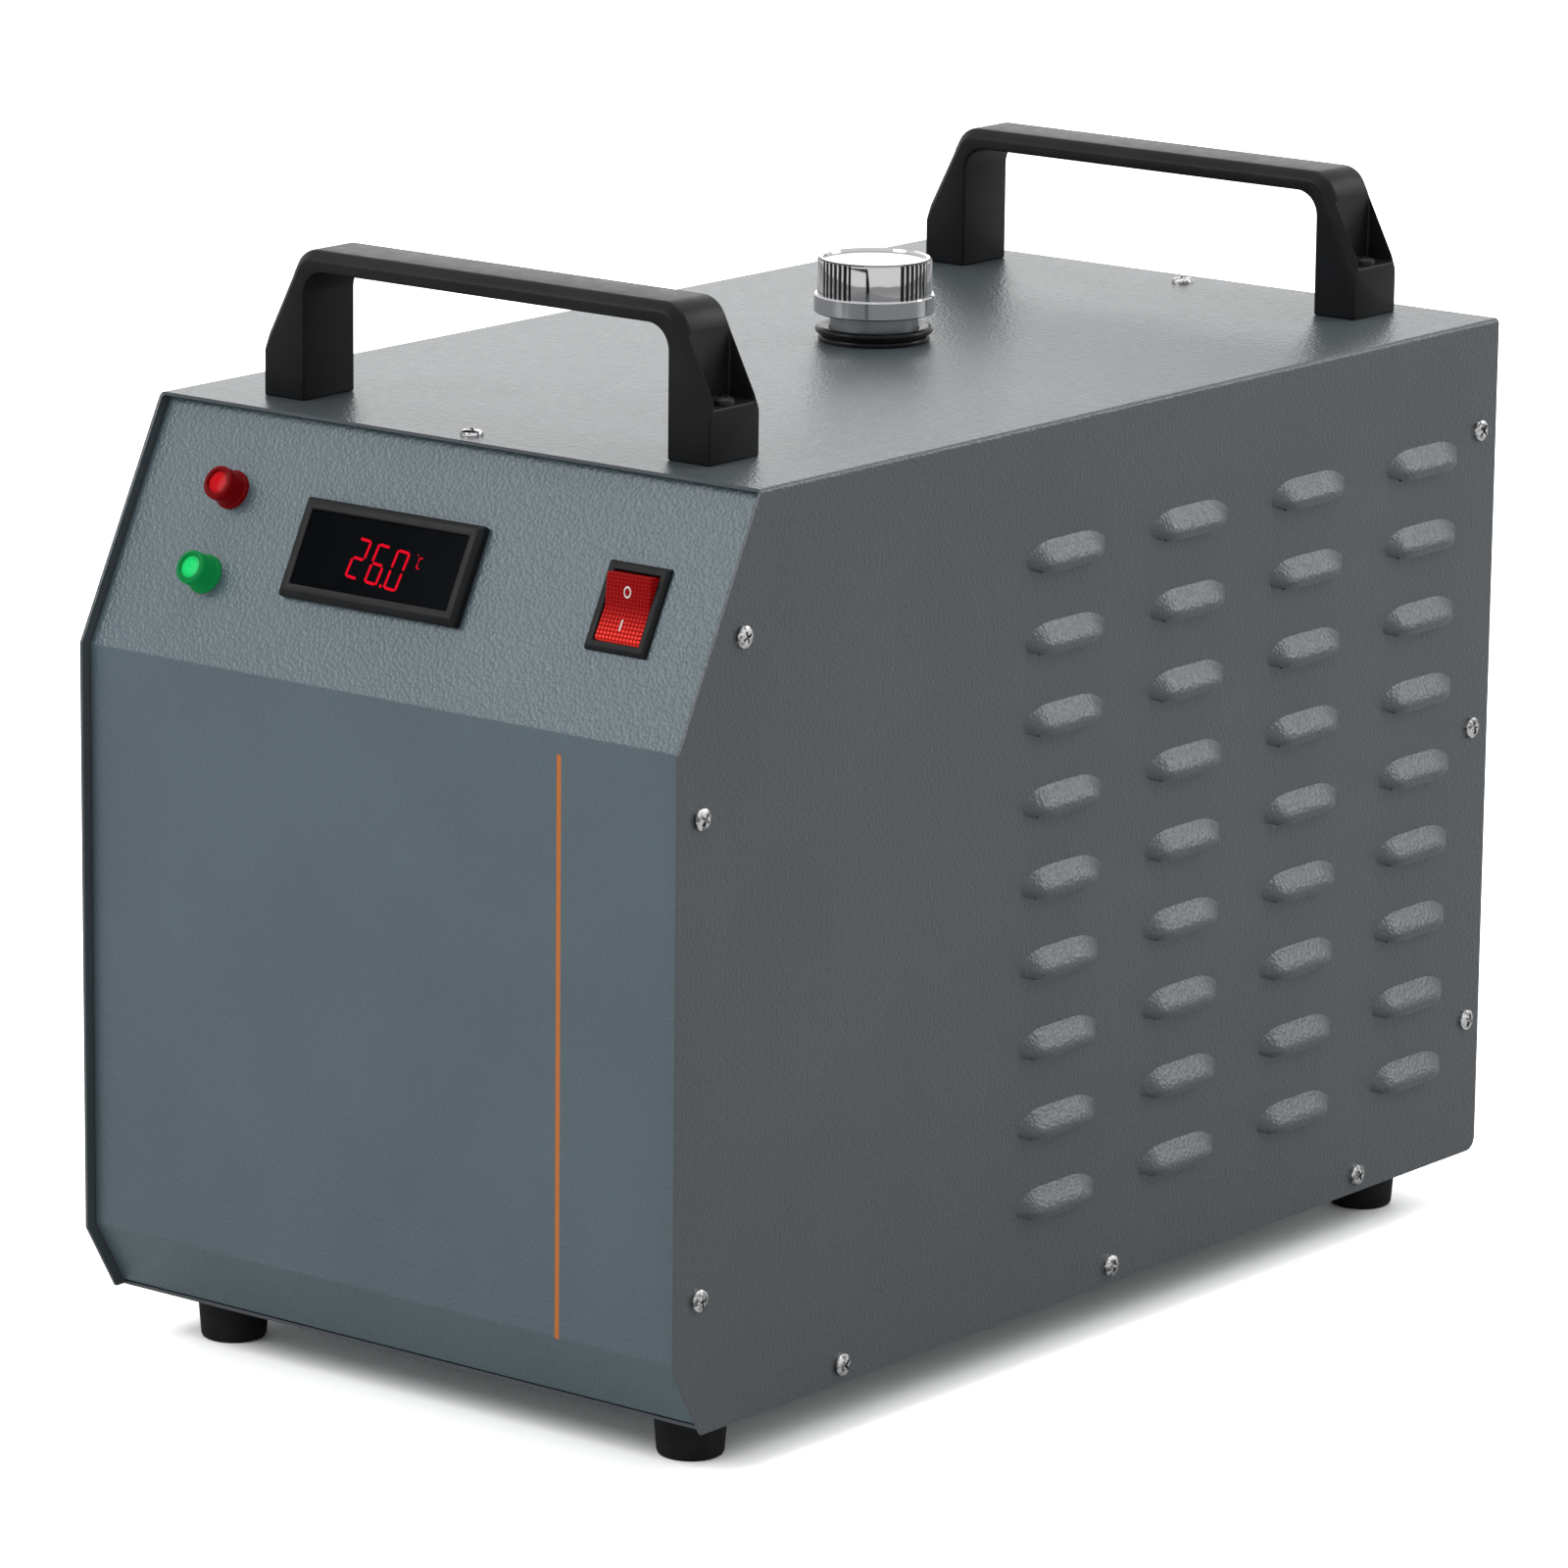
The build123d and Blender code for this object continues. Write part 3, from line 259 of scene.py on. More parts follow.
def moulded_plastic(name, colour, rough=0.34, grain=0.45):
    """Moulded plastic with a fine leathery grain, paler where it is handled."""
    finish = Finish(name, Specular_IOR_Level=0.16)
    wear = finish.noise(18 * MM, 4.0)
    colour = finish.colour(wear.between(0.3, 0.75), vivid(colour, 0.85), vivid(colour, 1.35))
    skin = finish.cells(grain * MM, 0.3) + finish.noise(grain * 0.5 * MM) * 0.5
    return finish.done(colour, finish.noise(5 * MM, 3.0) * 0.16 + rough, skin, 0.018 * MM)


def rubber(name, rough=0.62, shine=0.25):
    """Black rubber with a faint bloom."""
    black = chosen("rubber")
    finish = Finish(name, Specular_IOR_Level=shine)
    bloom = finish.noise(9 * MM, 4.0)
    colour = finish.colour(bloom.between(0.35, 0.8), black, vivid(black, 2.2))
    return finish.done(colour, bloom * 0.15 + rough, finish.noise(0.7 * MM, 3.0), 0.02 * MM)


def chrome(axis):
    """Polished chrome, with painted shade darkening the valleys of the flutes that stand round an axis."""
    finish = Finish("chrome", Metallic=1.0)
    across, back = finish.x - axis.x, finish.y - axis.y
    radius = (across * across + back * back).root()
    above_collar = finish.z.between(axis.z + 14 * MM, axis.z + 14.5 * MM)
    valley_shade = radius.between(20.9 * MM, 20.6 * MM) * radius.between(19.9 * MM, 20.1 * MM) * above_collar
    # Painted shade: the valleys of the flutes are made near-black.
    colour = finish.colour(valley_shade, (0.57, 0.57, 0.58), (0.06, 0.06, 0.06))
    return finish.done(colour, finish.noise(4 * MM, 3.0) * 0.04 + 0.035, finish.noise(7 * MM, 1.0), 0.02 * MM)


def plated_steel():
    """Bright nickel-plated steel with dull patches, slightly brushed."""
    finish = Finish("plated_steel", Metallic=1.0)
    brush = finish.noise(0.25 * MM, stretch=(6, 1, 1))
    dull = finish.noise(2.2 * MM)
    colour = finish.colour(dull.between(0.38, 0.58), (0.16, 0.155, 0.15), (0.66, 0.66, 0.67))
    return finish.done(colour, brush * 0.10 + 0.12, brush * 0.02 + dull, 0.2 * MM)


def zinc_sheet():
    """Zinc-coated sheet with its pale spangle."""
    finish = Finish("zinc_sheet", Metallic=0.85)
    grains_in_a_metre = 130.0
    values = {"Vector": finish.point, "Scale": grains_in_a_metre}
    spangle = finish.node("ShaderNodeTexVoronoi", {"feature": "F1"}, values, "Color")
    tone = finish.node("ShaderNodeSeparateColor", {}, {0: spangle})
    colour = finish.colour(tone, (0.42, 0.43, 0.45), (0.58, 0.59, 0.60))
    return finish.done(colour, tone * 0.16 + 0.32, finish.noise(2 * MM), 0.01 * MM)


def turned_brass(name, low, high):
    """Turned metal with fine lathe marks along the machine."""
    finish = Finish(name, Metallic=1.0)
    marks = (finish.y * (2 * math.pi / (0.35 * MM)) + finish.noise(2 * MM) * 4).sine() * 0.5 + 0.5
    tarnish = finish.noise(5 * MM, 4.0)
    colour = finish.colour(tarnish.between(0.3, 0.7), low, high)
    return finish.done(colour, tarnish * 0.15 + 0.2, marks, 0.004 * MM)


def tank_plastic():
    """Natural pale tank plastic, a little cloudy."""
    finish = Finish("natural_plastic", Specular_IOR_Level=0.45)
    cloud = finish.noise(30 * MM, 4.0)
    colour = finish.colour(cloud.between(0.3, 0.7), (0.56, 0.57, 0.55), (0.68, 0.69, 0.67))
    return finish.done(colour, cloud * 0.12 + 0.4, finish.noise(1.6 * MM, 3.0), 0.02 * MM)


def neck_metal():
    """Silver-grey filler neck with its smooth sheen."""
    finish = Finish("neck_silver", Metallic=0.55)
    haze = finish.noise(3 * MM, 3.0)
    colour = finish.colour(haze, (0.24, 0.26, 0.28), (0.34, 0.36, 0.38))
    return finish.done(colour, haze * 0.12 + 0.3, finish.noise(0.8 * MM), 0.006 * MM)


def radiator_metal():
    """Plain aluminium with fins a millimetre and a half apart, drawn as bright stripes with painted shade in
    the gaps between them.
    """
    finish = Finish("radiator_aluminium", Metallic=0.9)
    fins = (finish.x * (2 * math.pi / (1.5 * MM))).sine() * 0.5 + 0.5
    dust = finish.noise(12 * MM, 4.0)
    # Painted shade: the dark stripes stand for the shaded gaps between the fins.
    colour = finish.colour(fins, (0.10, 0.10, 0.105), (0.50, 0.51, 0.52))
    colour = finish.colour(dust.between(0.55, 0.85) * 0.4, colour, (0.35, 0.34, 0.32))
    return finish.done(colour, dust * 0.2 + 0.35, fins, 0.2 * MM)


def cast_metal():
    """Dark motor shell with a fine cast skin."""
    finish = Finish("motor_shell", Metallic=0.6)
    skin = finish.noise(1.2 * MM, 4.0)
    colour = finish.colour(skin, (0.045, 0.047, 0.05), (0.09, 0.093, 0.098))
    return finish.done(colour, skin * 0.2 + 0.4, skin, 0.05 * MM)


def circuit_board():
    """Green board with pale tracks."""
    finish = Finish("circuit_board", Specular_IOR_Level=0.5)
    tracks = (finish.noise(6 * MM, 1.0) * 40).sine().between(0.5, 0.8)
    colour = finish.colour(tracks, (0.006, 0.055, 0.022), (0.02, 0.13, 0.045))
    return finish.done(colour, tracks * 0.15 + 0.3, tracks, 0.03 * MM)


def window_gloss():
    """Dark glossy display window with faint smears."""
    finish = Finish("display_window_gloss", Specular_IOR_Level=0.01)
    smear = finish.noise(14 * MM, 4.0)
    colour = finish.colour(smear, (0.0022, 0.003, 0.0042), (0.0042, 0.0052, 0.0068))
    return finish.done(colour, smear * 0.1 + 0.06, finish.noise(20 * MM), 0.01 * MM)


def lamp_lens(name, tint, centre, glow):
    """Clear tinted lens with a dark ring, brighter towards its lit middle."""
    finish = Finish(name, Specular_IOR_Level=0.06, Emission_Strength=glow)
    away = [wire - value for wire, value in zip((finish.x, finish.y, finish.z), centre)]
    radius = (away[0] * away[0] + away[1] * away[1] + away[2] * away[2]).root()
    middle = radius.between(6.5 * MM, 1.5 * MM)
    swirl = finish.noise(1.6 * MM)
    ring = abs(radius - 4.6 * MM).between(0.9 * MM, 0.3 * MM)
    light = (middle * (swirl * 0.5 + 0.6) - ring * 0.5).highest(0.0)
    colour = finish.colour(light, vivid(tint, 0.35), vivid(tint, 1.5))
    finish.give(Emission_Color=colour)
    return finish.done(colour, swirl * 0.08 + 0.08, swirl, 0.02 * MM)


def lit_rocker(place):
    """Red rocker with its moulded lens grid, lit at the pressed lower end."""
    finish = Finish("rocker_red", Specular_IOR_Level=0.03, Emission_Strength=0.55)
    across = (finish.x * (2 * math.pi / (1.5 * MM))).sine().between(-0.9, 0.1)
    along = (finish.z * (2 * math.pi / (1.3 * MM))).sine().between(-0.9, 0.1)
    grid = across * along
    lit = finish.z.between(place.z + 3 * MM, place.z - 10 * MM)
    colour = finish.colour(grid * (lit * 0.7 + 0.2), vivid(chosen("rocker"), 0.4), (0.9, 0.06, 0.05))
    finish.give(Emission_Color=finish.colour(lit * (grid * 0.75 + 0.25), (0.10, 0.0, 0.0), (1.0, 0.05, 0.03)))
    return finish.done(colour, grid * 0.1 + 0.12, grid, 0.12 * MM)


def lit_digits():
    """Lit display segment."""
    red = chosen("digits")
    finish = Finish("lit_segment", Specular_IOR_Level=0.0, Emission_Strength=0.95)
    flicker = finish.noise(1.5 * MM)
    glow = finish.colour(flicker.between(0.2, 0.9), vivid(red, 0.7), red)
    finish.give(Base_Color=(*vivid(red, 0.5), 1.0), Emission_Color=glow, Roughness=flicker * 0.1 + 0.2)
    return finish.material


def white_mark():
    """White printed mark."""
    finish = Finish("white_print", Specular_IOR_Level=0.4)
    ink = finish.noise(0.6 * MM)
    finish.give(
        Base_Color=finish.colour(ink, (0.72, 0.70, 0.70), (0.85, 0.84, 0.84)),
        Roughness=ink * 0.1 + 0.3,
    )
    return finish.material


# Modelling


def open_mesh():
    """Goes into edit mode with everything selected."""
    bpy.ops.object.mode_set(mode="EDIT")
    bpy.ops.mesh.select_all(action="SELECT")


def close_mesh():
    """Comes back from edit mode."""
    bpy.ops.object.mode_set(mode="OBJECT")


def deselect():
    if bpy.context.object and bpy.context.object.mode != "OBJECT":
        close_mesh()
    bpy.ops.object.select_all(action="DESELECT")


def take(piece):
    """Makes a piece the only selected and the active one."""
    deselect()
    piece.select_set(True)
    bpy.context.view_layer.objects.active = piece
    return piece


def named(name):
    """Names the primitive that was just added, and starts its shaping."""
    piece = take(bpy.context.object)
    piece.name = name
    piece.data.name = name
    return piece


def pick(piece, kind, test):
    """In edit mode, selects only the faces, edges or points that pass a test."""
    bpy.ops.mesh.select_mode(type=kind)
    bpy.ops.mesh.select_all(action="DESELECT")
    shape = bmesh.from_edit_mesh(piece.data)
    for element in {"VERT": shape.verts, "EDGE": shape.edges, "FACE": shape.faces}[kind]:
        if test(element):
            element.select_set(True)
    shape.select_flush_mode()
    bmesh.update_edit_mesh(piece.data)


def modify(piece, kind, **settings):
    """Adds a modifier and applies it."""
    take(piece)
    modifier = piece.modifiers.new(kind.lower(), kind)
    for name, value in settings.items():
        setattr(modifier, name, value)
    bpy.ops.object.modifier_apply(modifier=modifier.name)


def soften(piece, width, segments=3, angle=35.0):
    """Rounds the hard edges and shades the rest smooth."""
    modify(
        piece,
        "BEVEL",
        width=width,
        segments=segments,
        limit_method="ANGLE",
        angle_limit=math.radians(angle),
        use_clamp_overlap=False,
    )
    shade(piece)


def shade(piece, angle=38.0):
    take(piece)
    bpy.ops.object.shade_smooth_by_angle(angle=math.radians(angle))


def mend(piece):
    """Merges doubles and turns every face outwards."""
    take(piece)
    open_mesh()
    bpy.ops.mesh.remove_doubles(threshold=0.002 * MM)
    bpy.ops.mesh.normals_make_consistent(inside=False)
    close_mesh()


def block(name, centre, size):
    deselect()
    bpy.ops.mesh.primitive_cube_add(size=1, location=centre, scale=size)
    piece = named(name)
    settle(piece)
    return piece


def lathe(name, profile, sides=64):
    """A turned form about the upright axis, from its profile as radius and height in millimetres."""
    deselect()
    radius, height = max(profile[0][0], 0.001), profile[0][1]
    bpy.ops.mesh.primitive_circle_add(vertices=sides, radius=radius * MM, location=(0, 0, height * MM))
    piece = named(name)
    settle(piece)
    open_mesh()
    for wide, high in profile[1:]:
        rise = (0, 0, (high - height) * MM)
        bpy.ops.mesh.extrude_region_move(TRANSFORM_OT_translate={"value": rise})
        share = max(wide, 0.001) / radius
        bpy.ops.transform.resize(value=(share, share, 1), center_override=(0, 0, high * MM))
        radius, height = max(wide, 0.001), high
    close_mesh()
    mend(piece)
    return piece


def settle(piece, placement=None):
    """Puts a piece's place into its mesh, so that its object sits at the origin."""
    if placement is not None:
        piece.matrix_world = placement
    take(piece)
    bpy.ops.object.transform_apply(location=True, rotation=True, scale=True)


def copies(piece, placements, name):
    """One piece of many copies of a form, each with its own mesh, and the form removed."""
    made = []
    for placement in placements:
        twin = bpy.data.objects.new(name, piece.data.copy())
        bpy.context.scene.collection.objects.link(twin)
        twin.matrix_world = placement
        made.append(twin)
    bpy.data.objects.remove(piece)
    return joined(made, name)


def joined(pieces, name):
    """Several pieces made one."""
    deselect()
    for piece in pieces:
        piece.select_set(True)
    bpy.context.view_layer.objects.active = pieces[0]
    bpy.ops.object.join()
    piece = named(name)
    settle(piece)
    return piece


def cut(piece, cutter):
    """Takes a cutter's space out of a piece."""
    modify(piece, "BOOLEAN", operation="DIFFERENCE", solver="EXACT", object=cutter)
    bpy.data.objects.remove(cutter)


def refined(node, name, width, segments=3, angle=35.0):
    """A copy of a solid, merged, with its edges rounded."""
    deselect()
    piece = bpy.data.objects.new(name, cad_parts[node].data.copy())
    bpy.context.scene.collection.objects.link(piece)
    take(piece)
    open_mesh()
    bpy.ops.mesh.remove_doubles(threshold=0.002 * MM)
    bpy.ops.mesh.dissolve_limited(angle_limit=math.radians(0.5))
    bpy.ops.mesh.normals_make_consistent(inside=False)
    close_mesh()
    bpy.ops.mesh.customdata_custom_splitnormals_clear()
    soften(piece, width, segments, angle)
    return piece


def dress(piece, material, body="chassis", stands_for=()):
    """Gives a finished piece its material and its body."""
    piece.data.materials.clear()
    for each in material if isinstance(material, list) else [material]:
        piece.data.materials.append(each)
    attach(piece, body)
    if stands_for:
        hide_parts(*stands_for)


def mould(node, name, width, material, body="chassis", segments=3, angle=35.0):
    """Makes and dresses the rounded copy that stands for a solid."""
    dress(refined(node, name, width, segments, angle), material, body, [node])


def paint(material, *nodes):
    """Gives carried-over solids a material."""
    for node in nodes:
        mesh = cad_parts[node].data
        mesh.materials.clear()
        mesh.materials.append(material)


def slope_placement(across, down, out=0.0, turn=0.0):
    """Placement on the recessed slope: right of the middle and down the slope, in millimetres."""
    sizes = bpy.context.scene.chiller_sizes
    reach = math.hypot(sizes.slope_run, sizes.slope_drop)
    normal = Vector((0, -sizes.slope_drop, sizes.slope_run)) / reach
    uphill = Vector((0, sizes.slope_run, sizes.slope_drop)) / reach
    origin = Vector((0, FRONT + sizes.slope_run, TOP)) - normal * sizes.panel_recess
    spot = origin + Vector((across * MM, 0, 0)) - uphill * down * MM + normal * out * MM
    axes = Matrix((Vector((1, 0, 0)), uphill, normal)).transposed().to_4x4()
    return Matrix.Translation(spot) @ axes @ turned(turn, "X")


def turned(degrees, axis):
    """A turn about an axis through the origin."""
    return Matrix.Rotation(math.radians(degrees), 4, axis)


def upright(origin, outward, along):
    """Placement whose +Z points outward and +X runs along a direction."""
    outward, along = Vector(outward), Vector(along)
    axes = Matrix((along, outward.cross(along), outward)).transposed().to_4x4()
    return Matrix.Translation(origin) @ axes


def side_placement(side, back, high):
    """Placement on a side of the cover, from its front and lower edge, with +Z out and +Y up."""
    sizes = bpy.context.scene.chiller_sizes
    half = PANEL_SIDE + sizes.sheet + sizes.side_gap
    return upright((side * half, FRONT + back, BOTTOM + high), (side, 0, 0), (0, side, 0))


def rear_placement(across, high):
    """Placement on the back panel, with +Z out and +Y up."""
    return upright((across, REAR, high), (0, 1, 0), (-1, 0, 0))


# Pieces


class CHILLER_OT_cover(Operator):
    """Folded cover with its smooth pressed louvres"""

    bl_idname = "chiller.cover"
    bl_label = "Cover"

    def execute(self, context):
        sizes = context.scene.chiller_sizes
        half = PANEL_SIDE + sizes.sheet + sizes.side_gap
        low, high = Vector((-half, FRONT, BOTTOM)), Vector((half, COVER_HIGH.y, TOP))
        shell = block("cover_shell", (low + high) / 2, high - low)
        self.cut_outline(shell, sizes)
        # The inner faces and the rims take the second material: near-black painted shade.
        second = {"material_offset": 1, "material_offset_rim": 1}
        modify(shell, "SOLIDIFY", thickness=sizes.sheet, offset=-1, use_even_offset=True, **second)
        places = self.louvre_places(sizes)
        cut(shell, copies(self.slot(sizes), places, "slots"))
        cut(shell, self.neck_hole())
        shade(shell, 25.0)
        coat = powder_coat("slate_coat", chosen("coat"))
        indices = [face.material_index for face in shell.data.polygons]
        dress(shell, [coat, inside_shade()], stands_for=["cover"])
        shell.data.polygons.foreach_set("material_index", indices)
        louvres = copies(self.louvre(sizes), places, "cover_louvres")
        shade(louvres, 60.0)
        dress(louvres, coat, stands_for=["cover"])
        return {"FINISHED"}

    def cut_outline(self, shell, sizes):
        """Cuts slope and chamfer, opens front, back and underside, and rounds the folds."""

        def at_fold(edge):
            start, end = (point.co for point in edge.verts)
            return min(start.z, end.z) > TOP - MM and abs(start.x + end.x) / 2 > PANEL_SIDE

        open_mesh()
        cuts = (
            ((0, FRONT + sizes.slope_run, TOP), (0, -sizes.slope_drop, sizes.slope_run)),
            ((0, FRONT + sizes.chamfer_run, BOTTOM), (0, -sizes.chamfer_drop, -sizes.chamfer_run)),
        )
        for place, normal in cuts:
            bpy.ops.mesh.select_all(action="SELECT")
            bpy.ops.mesh.bisect(plane_co=place, plane_no=normal, use_fill=True, clear_outer=True)
        pick(shell, "FACE", lambda face: abs(face.normal.x) < 0.5 and face.normal.z < 0.95)
        bpy.ops.mesh.delete(type="FACE")
        pick(shell, "EDGE", at_fold)
        bpy.ops.mesh.bevel(offset=sizes.fold, segments=4)
        pick(shell, "VERT", lambda point: point.co.z < BOTTOM + MM and point.co.y > COVER_HIGH.y - MM)
        bpy.ops.mesh.bevel(offset=sizes.rear_corner, segments=6, affect="VERTICES")
        close_mesh()

    def louvre_places(self, sizes):
        """Placements of the louvres, each at the lower edge of its slot."""
        first, pitch = 212.9 * MM, 73.4 * MM
        lowest, step = 34.6 * MM, 29.16 * MM
        return [
            side_placement(side, first + pitch * column, lowest + step * row)
            for side in (-1, 1)
            for column in range(sizes.louvre_columns)
            for row in range(sizes.louvre_rows)
        ]

    def slot(self, sizes):
        """What one louvre's slot takes out of the sheet."""
        closed_ends, closed_top = 15 * MM, 4 * MM
        wide, tall = sizes.louvre_length - closed_ends, sizes.louvre_height - closed_top
        return block("slot", (0, tall / 2, 0), (wide, tall, 6 * sizes.sheet))

    def neck_hole(self):
        """What the neck's hole takes out of the top."""
        deselect()
        under_ring = 4.4 * MM
        radius = (GASKET_HIGH.x - GASKET_LOW.x) / 2 - under_ring
        place = (FILLER.x, FILLER.y, TOP)
        bpy.ops.mesh.primitive_cylinder_add(vertices=64, radius=radius, depth=10 * MM, location=place)
        return named("neck_hole")

    def louvre(self, sizes):
        """A hood that rises towards its lower lip, with rounded ends and an open underside."""

        def at_underside(face):
            middle = face.calc_center_median()
            return middle.y < 0.04 and abs(middle.x) < 0.36

        deselect()
        columns, rows = 8, 5
        bpy.ops.mesh.primitive_grid_add(x_subdivisions=columns, y_subdivisions=rows, size=1)
        hood = named("louvre")
        profile = ((0.0, 0.0), (0.05, 0.86), (0.25, 1.12), (0.52, 0.80), (0.80, 0.34), (1.04, 0.0))
        open_mesh()
        for row, (high, out) in reversed(list(enumerate(profile))):
            level = row / rows - 0.5
            pick(hood, "VERT", lambda point: abs(point.co.y - level) < 0.01 and point.co.z == 0)
            bpy.ops.transform.translate(value=(0, high - level, out))
        pick(hood, "FACE", at_underside)
        bpy.ops.mesh.delete(type="FACE")
        for reach, tall, out in ((0.5, 0.38, 0.0), (0.375, 0.84, 0.86)):
            pick(hood, "VERT", lambda point: abs(abs(point.co.x) - reach) < 0.01)
            bpy.ops.transform.resize(value=(1, tall, out), center_override=(0, 0.42, 0))
        bpy.ops.mesh.select_all(action="SELECT")
        scale = (sizes.louvre_length, sizes.louvre_height, sizes.louvre_lift)
        bpy.ops.transform.resize(value=scale, center_override=(0, 0, 0))
        close_mesh()
        modify(hood, "SUBSURF", levels=2, render_levels=2, boundary_smooth="ALL")
        crest = max(point.co.z for point in hood.data.vertices)
        open_mesh()
        bpy.ops.transform.resize(value=(1, 1, sizes.louvre_lift / crest), center_override=(0, 0, 0))
        bpy.ops.mesh.normals_make_consistent(inside=False)
        close_mesh()
        if sum(face.normal.z for face in hood.data.polygons) < 0:
            open_mesh()
            bpy.ops.mesh.flip_normals()
            close_mesh()
        modify(hood, "SOLIDIFY", thickness=sizes.sheet * 0.7, offset=-1, use_even_offset=True)
        return hood


class CHILLER_OT_panels(Operator):
    """Front and back panels and the tray under them"""

    bl_idname = "chiller.panels"
    bl_label = "Panels"

    def execute(self, context):
        left, right, foot, head = (value * MM for value in (79.1, 81.0, 24.9, 228.8))
        behind = FRONT + context.scene.chiller_sizes.panel_recess + 0.3 * MM
        stripe = (left, right, BOTTOM + foot, BOTTOM + head, behind)
        # The front panel's coat is bluer, and lighter than the cover's as painted light.
        paint(powder_coat("slate_coat_front", chosen("front_coat_and_light"), stripe), "front_panel")
        paint(powder_coat("slate_coat_back", chosen("coat")), "back_panel", "base_tray")
        paint(zinc_sheet(), "tank_brackets", "fan_shroud", "pump_bracket", "power_supply")
        return {"FINISHED"}


class CHILLER_OT_handles(Operator):
    """Carrying handles with rounded edges and moulded grain"""

    bl_idname = "chiller.handles"
    bl_label = "Handles"

    def execute(self, context):
        grain = moulded_plastic("handle_grain", chosen("moulded"))
        for node in ("handle_front", "handle_rear"):
            mould(node, f"{node}_moulding", 0.8 * MM, grain, angle=30.0)
        return {"FINISHED"}


class CHILLER_OT_screws(Operator):
    """Cross-head screws of the cover, the handles and the fan"""

    bl_idname = "chiller.screws"
    bl_label = "Screws"

    def execute(self, context):
        sizes = context.scene.chiller_sizes
        steel = plated_steel()
        # Painted shade: the handle screws are made near-black for the shade in their deep wells.
        screw_well_shade = moulded_plastic("blackened_steel", (0.018, 0.018, 0.019), 0.3, 0.3)
        groups = (
            ("cover_screws", (sizes.screw_head / MM, sizes.screw_rise / MM), self.cover_places(), steel),
            ("handle_screws", (4.4, 2.8), self.handle_places(), screw_well_shade),
            ("fan_screws", (4.0, 2.0), self.fan_places(), steel),
        )
        for name, measures, places, metal in groups:
            dress(copies(self.head(*measures), places, name), metal)
        return {"FINISHED"}

    def cover_places(self):
        """Nine on each side and two on top, turned as they happened to stop."""
        on_side = (
            (33.2, 272.1), (11.8, 213.8), (12.3, 47.8), (90.8, 6.8), (246.9, 6.8),
            (402.0, 6.8), (472.4, 52.5), (470.4, 166.2), (470.4, 279.6),
        )
        places = []
        for number, (back, high) in enumerate(on_side):
            for side in (-1, 1):
                place = side_placement(side, back * MM, high * MM)
                places.append(place @ turned(37 * number + 20 * side, "Z"))
        for back in (52.5, 467.4):
            places.append(Matrix.Translation((0, FRONT + back * MM, TOP)) @ turned(back, "Z"))
        return places

    def handle_places(self):
        """One in the well at each end of a handle."""
        well_in, well_floor = 5.65 * MM, 19 * MM
        places = []
        for node in ("handle_front", "handle_rear"):
            low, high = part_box(node)
            for across in (low.x + well_in, high.x - well_in):
                places.append(Matrix.Translation((across, (low.y + high.y) / 2, TOP + well_floor)))
        return places

    def fan_places(self):
        """One at each corner of the fan, outside the back panel."""
        corner_in = 11 * MM
        low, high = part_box("fan_frame")
        return [
            rear_placement(across, up)
            for across in (low.x + corner_in, high.x - corner_in)
            for up in (low.z + corner_in, high.z - corner_in)
        ]

    def head(self, radius, rise):
        """A domed head with a cross recess."""
        rim, steps = 0.42, 5
        dome = [(radius * 0.2, 0.0), (radius, 0.0), (radius, rise * rim)]
        for step in range(1, steps + 1):
            angle = math.radians(90 / steps * step)
            dome.append((radius * math.cos(angle * 0.98), rise * (rim + (1 - rim) * math.sin(angle))))
        head = lathe("screw_head", dome, 40)
        long, wide, deep = radius * 1.15 * MM, radius * 0.24 * MM, rise * 0.62 * MM
        for size in ((long, wide, 2 * deep), (wide, long, 2 * deep)):
            cut(head, block("cross", (0, 0, rise * MM), size))
        shade(head, 30.0)
        return head


class CHILLER_OT_lamps(Operator):
    """Red and green indicator lamps"""

    bl_idname = "chiller.lamps"
    bl_label = "Lamps"

    def execute(self, context):
        lamps = (("red", (-92.1, 29.8), 0.25), ("green", (-92.3, 60.9), 0.8))
        profile = (
            (4.0, 0.0), (7.0, 0.0), (7.0, 1.1), (6.7, 1.5), (6.25, 1.6), (6.1, 2.4), (6.1, 8.2),
            (5.9, 8.9), (5.3, 9.3), (4.6, 9.3), (4.3, 9.1), (4.15, 8.5), (2.0, 8.7), (0.0, 8.8),
        )
        lit_height = 8.5 * MM
        for name, spot, glow in lamps:
            lens = lathe(f"{name}_lens_dome", profile)
            placement = slope_placement(*spot)
            settle(lens, placement)
            shade(lens, 50.0)
            centre = placement @ Vector((0, 0, lit_height))
            tint = lamp_lens(f"{name}_lens_tint", chosen(f"{name}_lamp"), centre, glow)
            dress(lens, tint, stands_for=[f"{name}_lamp_lens"])
        paint(plated_steel(), "red_lamp_body", "green_lamp_body")
        return {"FINISHED"}


